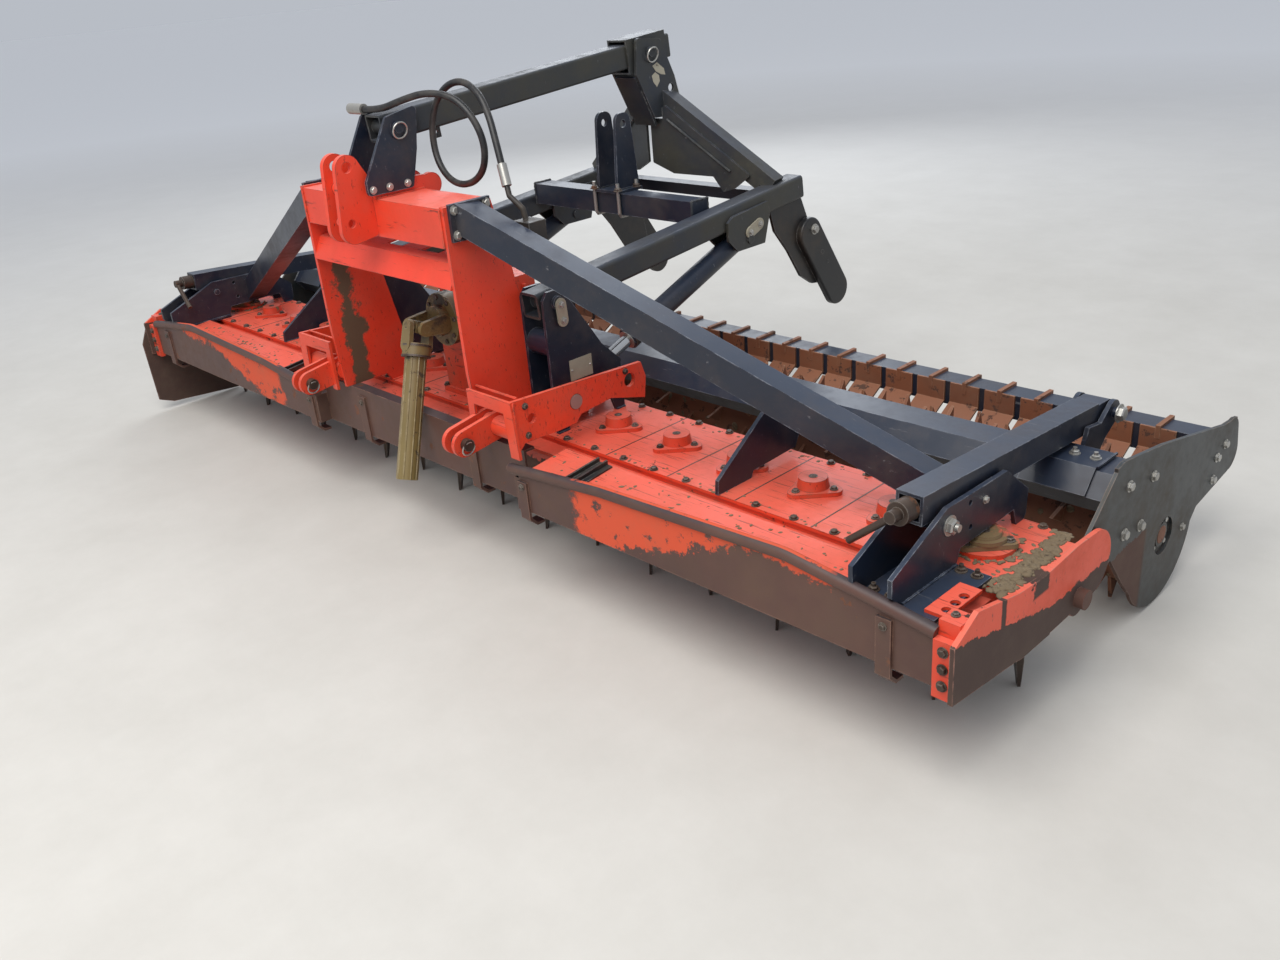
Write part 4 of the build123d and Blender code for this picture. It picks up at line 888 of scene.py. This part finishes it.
# %% Pin rings
LEAN = 0.25  # radians away from upright
RING_POINTS = 28


def hanging_ring(bm, place, radius, wire):
    """Spring ring that hangs from a pin's end, in the plane across X"""
    points = []
    for k in range(RING_POINTS):
        angle = 2 * math.pi * k / RING_POINTS
        across, rise = math.cos(angle), math.sin(angle)
        lie = Vector((math.sin(LEAN) * rise, across, rise * math.cos(LEAN) - 0.55))
        points.append(place + lie * (radius / 1000))
    tube(bm, points, wire, 8, closed=True)


def pin_rings(name, spots, radius, wire, body):
    """A ring at each place and at its mirror image"""
    bm = bmesh.new()
    for place in spots:
        for spot in both(*place):
            hanging_ring(bm, at(*spot), radius, wire)
    piece(name, bm, zinc, body)


pin_rings("stay_pin_rings", [(81, -265, 1332)], 24, 2.6, "frame")
pin_rings("mast_pin_rings", [(75, 800, 1424)], 25, 2.8, "rear_hitch")

# %% [markdown]
# Where plates meet, a welder leaves a bead. Each bead is a thin lumpy tube
# along the joint. The table gives the two ends of each seam on the right hand
# side; the left hand side is mirrored.

# %% Weld beads
BEAD_RADIUS = 4
BEAD_STEP = 0.006  # metres from lump to lump


def bead(bm, start, end):
    """Lumpy bead from one place to the other"""
    run = end - start
    steps = max(2, int(run.length / BEAD_STEP))
    points = [start + run * (k / steps) for k in range(steps + 1)]
    tube(bm, points, BEAD_RADIUS, 5, lumpy=0.22)


def beads(name, rows, finish, body):
    """Beads from a table of end places, on both sides"""
    bm = bmesh.new()
    for start, end in rows:
        for a, b in zip(both(*start), both(*end)):
            bead(bm, at(*a), at(*b))
    piece(name, bm, finish, body, crease=60)


def square(x, y0, y1, z0, z1):
    """The four seams round an upright rectangle at x"""
    corners = [(x, y0, z0), (x, y1, z0), (x, y1, z1), (x, y0, z1)]
    return list(zip(corners, corners[1:] + corners[:1]))


beads("orange_welds", [
    ((401, -172, 416), (401, -90, 416)), ((383, -172, 416), (383, -90, 416)),
    ((383, -371, 1139), (383, -205, 1139)), ((383, -373, 1027), (383, -373, 1135)),
    ((62, -370, 1139), (62, -200, 1139)), ((608, -376, 456), (608, -376, 612)),
    ((401, -350, 615), (592, -350, 615)),
], orange, "frame")
beads("navy_welds", [
    ((512, -150, 416), (512, -105, 416)), ((512, 97, 416), (512, 133, 416)),
    ((1185, -40, 416), (1185, -170, 416)), ((1767, -350, 426), (1767, -135, 426)),
    ((1884, -350, 426), (1884, -135, 426)), ((1767, 134, 416), (1767, 170, 416)),
    ((413, -340, 1046), (413, -235, 1046)), ((413, -340, 1145), (413, -235, 1145)),
], navy, "frame")
beads("hitch_welds", [
    *square(413, 598, 677, 891, 970), *square(413, 998, 1062, 883, 927),
    ((41, 612, 979), (41, 692, 979)), ((56, 612, 979), (56, 692, 979)),
    ((495, 700, 900), (495, 880, 917)), ((463, 935, 884), (463, 1095, 896)),
    ((84, 838, 1188), (320, 900, 1010)),
], grimy_navy, "rear_hitch")
beads("roller_frame_welds", [
    *square(2020, 960, 1040, 300, 380),
    ((2020, 325, 435), (2020, 372, 490)), ((2020, 372, 490), (2020, 478, 490)),
    ((2020, 478, 490), (2020, 525, 435)), ((2020, 525, 435), (2020, 478, 380)),
    ((2020, 478, 380), (2020, 372, 380)), ((2020, 372, 380), (2020, 325, 435)),
    ((1778, 372, 498), (1778, 478, 498)), ((1962, 372, 498), (1962, 478, 498)),
], navy, "roller_frame")

# %% [markdown]
# The roller's end plates carry the frame bolts and the four bolts of the
# bearing behind the round opening. The spindle's eye pin shows a hexagon head,
# and two nuts on top of each saddle hold it to the beam.

# %% Bolts on the roller frame
PLATE_SIDE = 2032
BEARING_SIDE, BEARING_BOLTS = 2022, 45
ROLLER_Y, ROLLER_Z = 660, 210
EYE_PIN_SIDE = 1891.5
SADDLE_TOP = 498
plate_bolts = bmesh.new()


def side_bolts(x, y, z, radius, washer=1.3):
    """The same bolt on both sides of the roller frame"""
    for spot in both(x, y, z):
        bolt(plate_bolts, at(*spot), outward(spot[0]), radius, washer)


for y, z, radius in (
    (548, 428, 12), (405, 455, 12), (499, 307, 13), (404, 321, 13), (789, 181, 9),
    (988, 317, 11), (978, 252, 11), (1040, 340, 11),
):
    side_bolts(PLATE_SIDE, y, z, radius)
for turn in (45, 135, 225, 315):
    angle = math.radians(turn)
    y = ROLLER_Y + BEARING_BOLTS * math.cos(angle)
    z = ROLLER_Z + BEARING_BOLTS * math.sin(angle)
    side_bolts(BEARING_SIDE, y, z, 8, washer=0)
side_bolts(EYE_PIN_SIDE, 635, 538, 20)
for x in (1880, 1935):
    for spot in both(x, 420, SADDLE_TOP):
        nut(plate_bolts, at(*spot), UP, 11)
piece("roller_frame_bolts", plate_bolts, zinc, "roller_frame")

# %% [markdown]
# Two U-bolts clamp the foot of the clevis posts round the cross bar. Each is
# a bent rod with a nut on both legs above the foot plate.

# %% U-bolts under the clevis posts
LEGS = (592, 683)
FOOT_TOP = 978
ROD_PATH = [
    (LEGS[0], 1004), (LEGS[0], 898), (598, 888), (677, 888), (LEGS[1], 898), (LEGS[1], 1004),
]
clamps = bmesh.new()
nuts = bmesh.new()
for x in (-62, 62):
    tube(clamps, outline(x, ROD_PATH), 6.5, 10)
    for y in LEGS:
        bolt(nuts, at(x, y, FOOT_TOP), UP, 12, washer=1.35)
piece("clamp_rods", clamps, zinc, "rear_hitch")
piece("clamp_nuts", nuts, dark_iron, "rear_hitch")

# %% [markdown]
# Each big pin is kept from turning by a small capsule shaped plate with two
# bolts. The outline is two half circles; a slab gives it thickness.

# %% Pin keeper plates
KEEPER = 5  # thickness


def capsule(ends, radius):
    """Y and Z of an outline round two places"""
    (y0, z0), (y1, z1) = ends
    heading = math.atan2(z1 - z0, y1 - y0)
    rim = []
    for y, z, start in ((y1, z1, heading - math.pi / 2), (y0, z0, heading + math.pi / 2)):
        for k in range(11):
            angle = start + math.pi * k / 10
            rim.append((y + radius * math.cos(angle), z + radius * math.sin(angle)))
    return rim


def keepers(name, x, ends, radius, body, spacer=0):
    """A keeper plate with its bolts, on both sides"""
    plates = bmesh.new()
    heads = bmesh.new()
    for side in (1, -1):
        face = (side, 0, 0)
        slab(plates, outline(side * x, capsule(ends, radius)), Vector(face) * KEEPER / 1000)
        if spacer:
            prism(plates, at(side * (x - spacer), *ends[1]), face, radius * 0.6, spacer, 20)
        for y, z in ends:
            bolt(heads, at(side * (x + KEEPER), y, z), face, radius * 0.42)
    piece(name + "_plates", plates, cream, body)
    piece(name + "_bolts", heads, zinc, body)


keepers("ram_keeper", 505, [(782, 838), (832, 858)], 20, "rear_hitch")
keepers("arm_keeper", 520, [(-94, 815), (-91, 765)], 19, "frame", spacer=10)

# %% [markdown]
# A blank data plate sits on the right hand support box with a rivet at each
# end, and pale scraps of old stickers cling to the mast. They carry no words:
# only their torn shapes are modelled, a hair above the paint.

# %% Data plate and torn stickers
BOX_SIDE = 510
TAG = 1.4  # thickness
tag = bmesh.new()
rim = outline(BOX_SIDE, [(-77, 564), (13, 564), (13, 630), (-77, 630)])
slab(tag, rim, Vector((TAG / 1000, 0, 0)))
rivets = bmesh.new()
for y in (-69, 5):
    prism(rivets, at(BOX_SIDE + TAG, y, 597), SIDE, 4, 2, 14, tip=2.5)
piece("data_plate", tag, cream, "frame")
piece("data_plate_rivets", rivets, zinc, "frame")

MAST_SIDE = 62
scraps = bmesh.new()
for rim in (
    [(806, 1372), (830, 1382), (862, 1358), (868, 1336), (846, 1340), (822, 1352)],
    [(800, 1340), (818, 1350), (836, 1338), (838, 1318), (822, 1300), (806, 1318)],
):
    slab(scraps, outline(MAST_SIDE, rim), Vector((0.0006, 0, 0)))
piece("torn_stickers", scraps, cream, "rear_hitch")

# %% [markdown]
# The drive line gets what a casting and a tube alone can't show: flange bolts
# and a breather on the gearbox, a ring of bolts round the clutch, and the
# lengthwise ridges of the shaft's profiled tube.

# %% Gearbox, clutch and shaft
GEARBOX_Y, GEARBOX_TOP = 30, 818
SHAFT_HIGH = 705
drive_bolts = bmesh.new()
for y in (-112, -14, 78, 172):
    for spot in both(127, y, 433):
        bolt(drive_bolts, at(*spot), UP, 10)
for k in range(6):
    angle = math.radians(60 * k + 20)
    spot = at(56 * math.cos(angle), GEARBOX_Y + 56 * math.sin(angle), GEARBOX_TOP)
    bolt(drive_bolts, spot, UP, 9)
for k in range(8):
    angle = math.radians(45 * k + 10)
    spot = at(74 * math.cos(angle), -175, SHAFT_HIGH + 74 * math.sin(angle))
    bolt(drive_bolts, spot, FRONT, 8, washer=0)
piece("drive_bolts", drive_bolts, dark_iron, "frame")
plugs = bmesh.new()
prism(plugs, at(0, GEARBOX_Y, GEARBOX_TOP), UP, 13, 14, 6)
prism(plugs, at(0, GEARBOX_Y, GEARBOX_TOP + 14), UP, 9, 10, 16, tip=6)
prism(plugs, at(84, -110, 500), FRONT, 15, 7, 6)
piece("gearbox_plugs", plugs, zinc, "frame")

RIDGES, RIDGE_OUT = 9, 0.0325
joint = at(0, -268, SHAFT_HIGH)
foot = at(100, -465, 265)
hang = (foot - joint).normalized()
beside = hang.orthogonal().normalized()
ridges = bmesh.new()
for k in range(RIDGES):
    out = Matrix.Rotation(2 * math.pi * k / RIDGES, 3, hang) @ beside * RIDGE_OUT
    tube(ridges, [joint + hang * 0.100 + out, foot - hang * 0.002 + out], 3.2, 6)
piece("shaft_ridges", ridges, ochre, "half_shaft")
collar = bmesh.new()
for reach in (0.058, 0.092):
    prism(collar, joint + hang * reach, hang, 47.5, 6, 40)
piece("shaft_collar_rims", collar, dark_iron, "half_shaft")

# %% [markdown]
# Hydraulic rams end in a screwed gland with a wiper, where the bright rod
# comes out. The lower link pins have a ring at each end, and the side plates
# show the pale end of a stout pin through a round hole.

# %% Ram glands and link pin rings
upper_eye = at(455, 783, 815)
lower_eye = at(455, -75, 495)
along_ram = (lower_eye - upper_eye).normalized()
# start in metres from the upper eye, radius and length in millimetres
for name, finish, start, radius, long in (
    ("ram_glands", dark_iron, 0.566, 38, 30), ("ram_wipers", zinc, 0.597, 31, 7),
):
    made = bmesh.new()
    for side in (1, -1):
        mirror = Vector((side, 1, 1))
        spot = (upper_eye + along_ram * start) * mirror
        prism(made, spot, along_ram * mirror, radius, long, 40)
    piece(name, made, finish, "ram_barrels")

pin_rings("link_pin_rings", [(492, -469, 488), (406, -469, 488)], 21, 2.6, "frame")
pins = bmesh.new()
for spot in both(590, -145, 542):
    prism(pins, at(*spot), outward(spot[0]), 22.5, 19, 32)
piece("side_plate_pins", pins, zinc, "frame")

# %% [markdown]
# The drill hooks carry a bolt and two worn holes. A hole that goes nowhere is
# shown by a thin dark disc, painted shade of its depth, which costs nothing and
# reads well from a step away. Two black straps cross the ledge on each side.

# %% Hook bolts, painted shade in the holes, and ledge straps
HOOK_SIDE = 499
hook_bolts = bmesh.new()
hook_hole_shade = bmesh.new()
for side in (1, -1):
    face = (side, 0, 0)
    bolt(hook_bolts, at(side * HOOK_SIDE, 1147, 771), face, 15)
    for y, z, radius in ((1193, 677, 10), (1225, 634, 8)):
        # painted shade: a thin black disc stands for the dark depth of each hole
        prism(hook_hole_shade, at(side * HOOK_SIDE, y, z), face, radius, 0.6, 28)
piece("hook_bolts", hook_bolts, zinc, "rear_hitch")
piece("hook_hole_shade", hook_hole_shade, black, "rear_hitch")

LEDGE_FRONT, LEDGE_REAR = (-372, 414), (-240, 428)  # Y and Z
straps = bmesh.new()
for x in (795, 829):
    for side in (1, -1):
        for high, wide in ((18, 0.006), (5, 0.024)):
            top = [(y, z + high) for y, z in (LEDGE_REAR, LEDGE_FRONT)]
            rim = outline(side * x, [LEDGE_FRONT, LEDGE_REAR, *top])
            slab(straps, rim, Vector((side * wide, 0, 0)))
piece("ledge_straps", straps, black, "frame")

# %% [markdown]
# Soil sits wherever it can lodge: along the joint between the cover and the
# skins, round the end caps, on the ledge and between the roller's teeth. Each
# clod is a copy of one small ball, squashed and jittered. Hundreds of copies
# are gathered as plain lists and become one mesh, which is fast to build.

# %% How clods are made
ball = bmesh.new()
bmesh.ops.create_icosphere(ball, subdivisions=2, radius=1)
BALL_POINTS = [vert.co.copy() for vert in ball.verts]
BALL_FACES = [[vert.index for vert in face.verts] for face in ball.faces]
ball.free()
FULL_TURN = 6.28


def clods(name, spots, finish, body):
    """One mesh of many lumps; a spot is a place, a size in mm and a way up"""
    points = []
    faces = []
    for place, size, up in spots:
        squash = Matrix.Diagonal((
            random.uniform(0.8, 1.6), random.uniform(0.7, 1.1), random.uniform(0.3, 0.6), 1,
        ))
        turn = standing(place, up, random.uniform(0, FULL_TURN)) @ squash
        first = len(points)
        for point in BALL_POINTS:
            points.append(turn @ (point * size / 1000 * random.uniform(0.82, 1.18)))
        faces.extend([first + index for index in face] for face in BALL_FACES)
    mesh = bpy.data.meshes.new(name)
    mesh.from_pydata(points, [], faces)
    show(mesh, finish, body)


print("ball faces", len(BALL_FACES))

# %% [markdown]
# The thickest soil is a ridge along each end of the cover. Its clods follow a
# bell curve about the joint, so the ridge is full in the middle and frays at
# its sides. The ledge and the cover's edges only get crumbs.

# %% Soil on the frame and the roller
SKIN_FACE = 2040  # no clod goes through the end skin,
PLATE_FACE = 2022  # nor where the roller's end plate swings
LEDGE_SLOPE = 0.106
CORE_RADIUS = 0.150  # metres, the roller's drum
spots = []
for side in (1, -1):
    for k in range(300):
        x = random.gauss(2000, 15)
        y = random.uniform(-172, 160)
        size = random.uniform(4, 12)
        x = min(x, (SKIN_FACE if y < 100 else PLATE_FACE) - 1.9 * size)
        spots.append((at(side * x, y, COVER_TOP), size, UP))
    for k in range(90):
        angle = random.uniform(0, FULL_TURN)
        reach = random.gauss(80, 6)
        x = side * ROTOR_X[-1] + reach * math.cos(angle)
        place = at(x, reach * math.sin(angle), COVER_TOP + 1)
        spots.append((place, random.uniform(3, 9), UP))
    for k in range(90):
        y = random.uniform(-370, -245)
        place = at(side * random.uniform(645, 1755), y, 428 + (y + 235) * LEDGE_SLOPE)
        spots.append((place, random.uniform(2, 6), UP))
for k in range(320):
    y = random.choice((-1, 1)) * min(168, random.gauss(150, 12))
    spots.append((at(random.uniform(-1950, 1950), y, COVER_TOP), random.uniform(2, 5), UP))
clods("soil_on_frame", spots, mud, "frame")

spots = []
for k in range(520):
    angle = random.uniform(0, FULL_TURN)
    out = Vector((0, math.cos(angle), math.sin(angle)))
    place = at(random.uniform(-1990, 1990), ROLLER_Y, ROLLER_Z) + out * CORE_RADIUS
    spots.append((place, random.uniform(4, 13), out))
clods("soil_on_roller", spots, mud, "packer_roller")
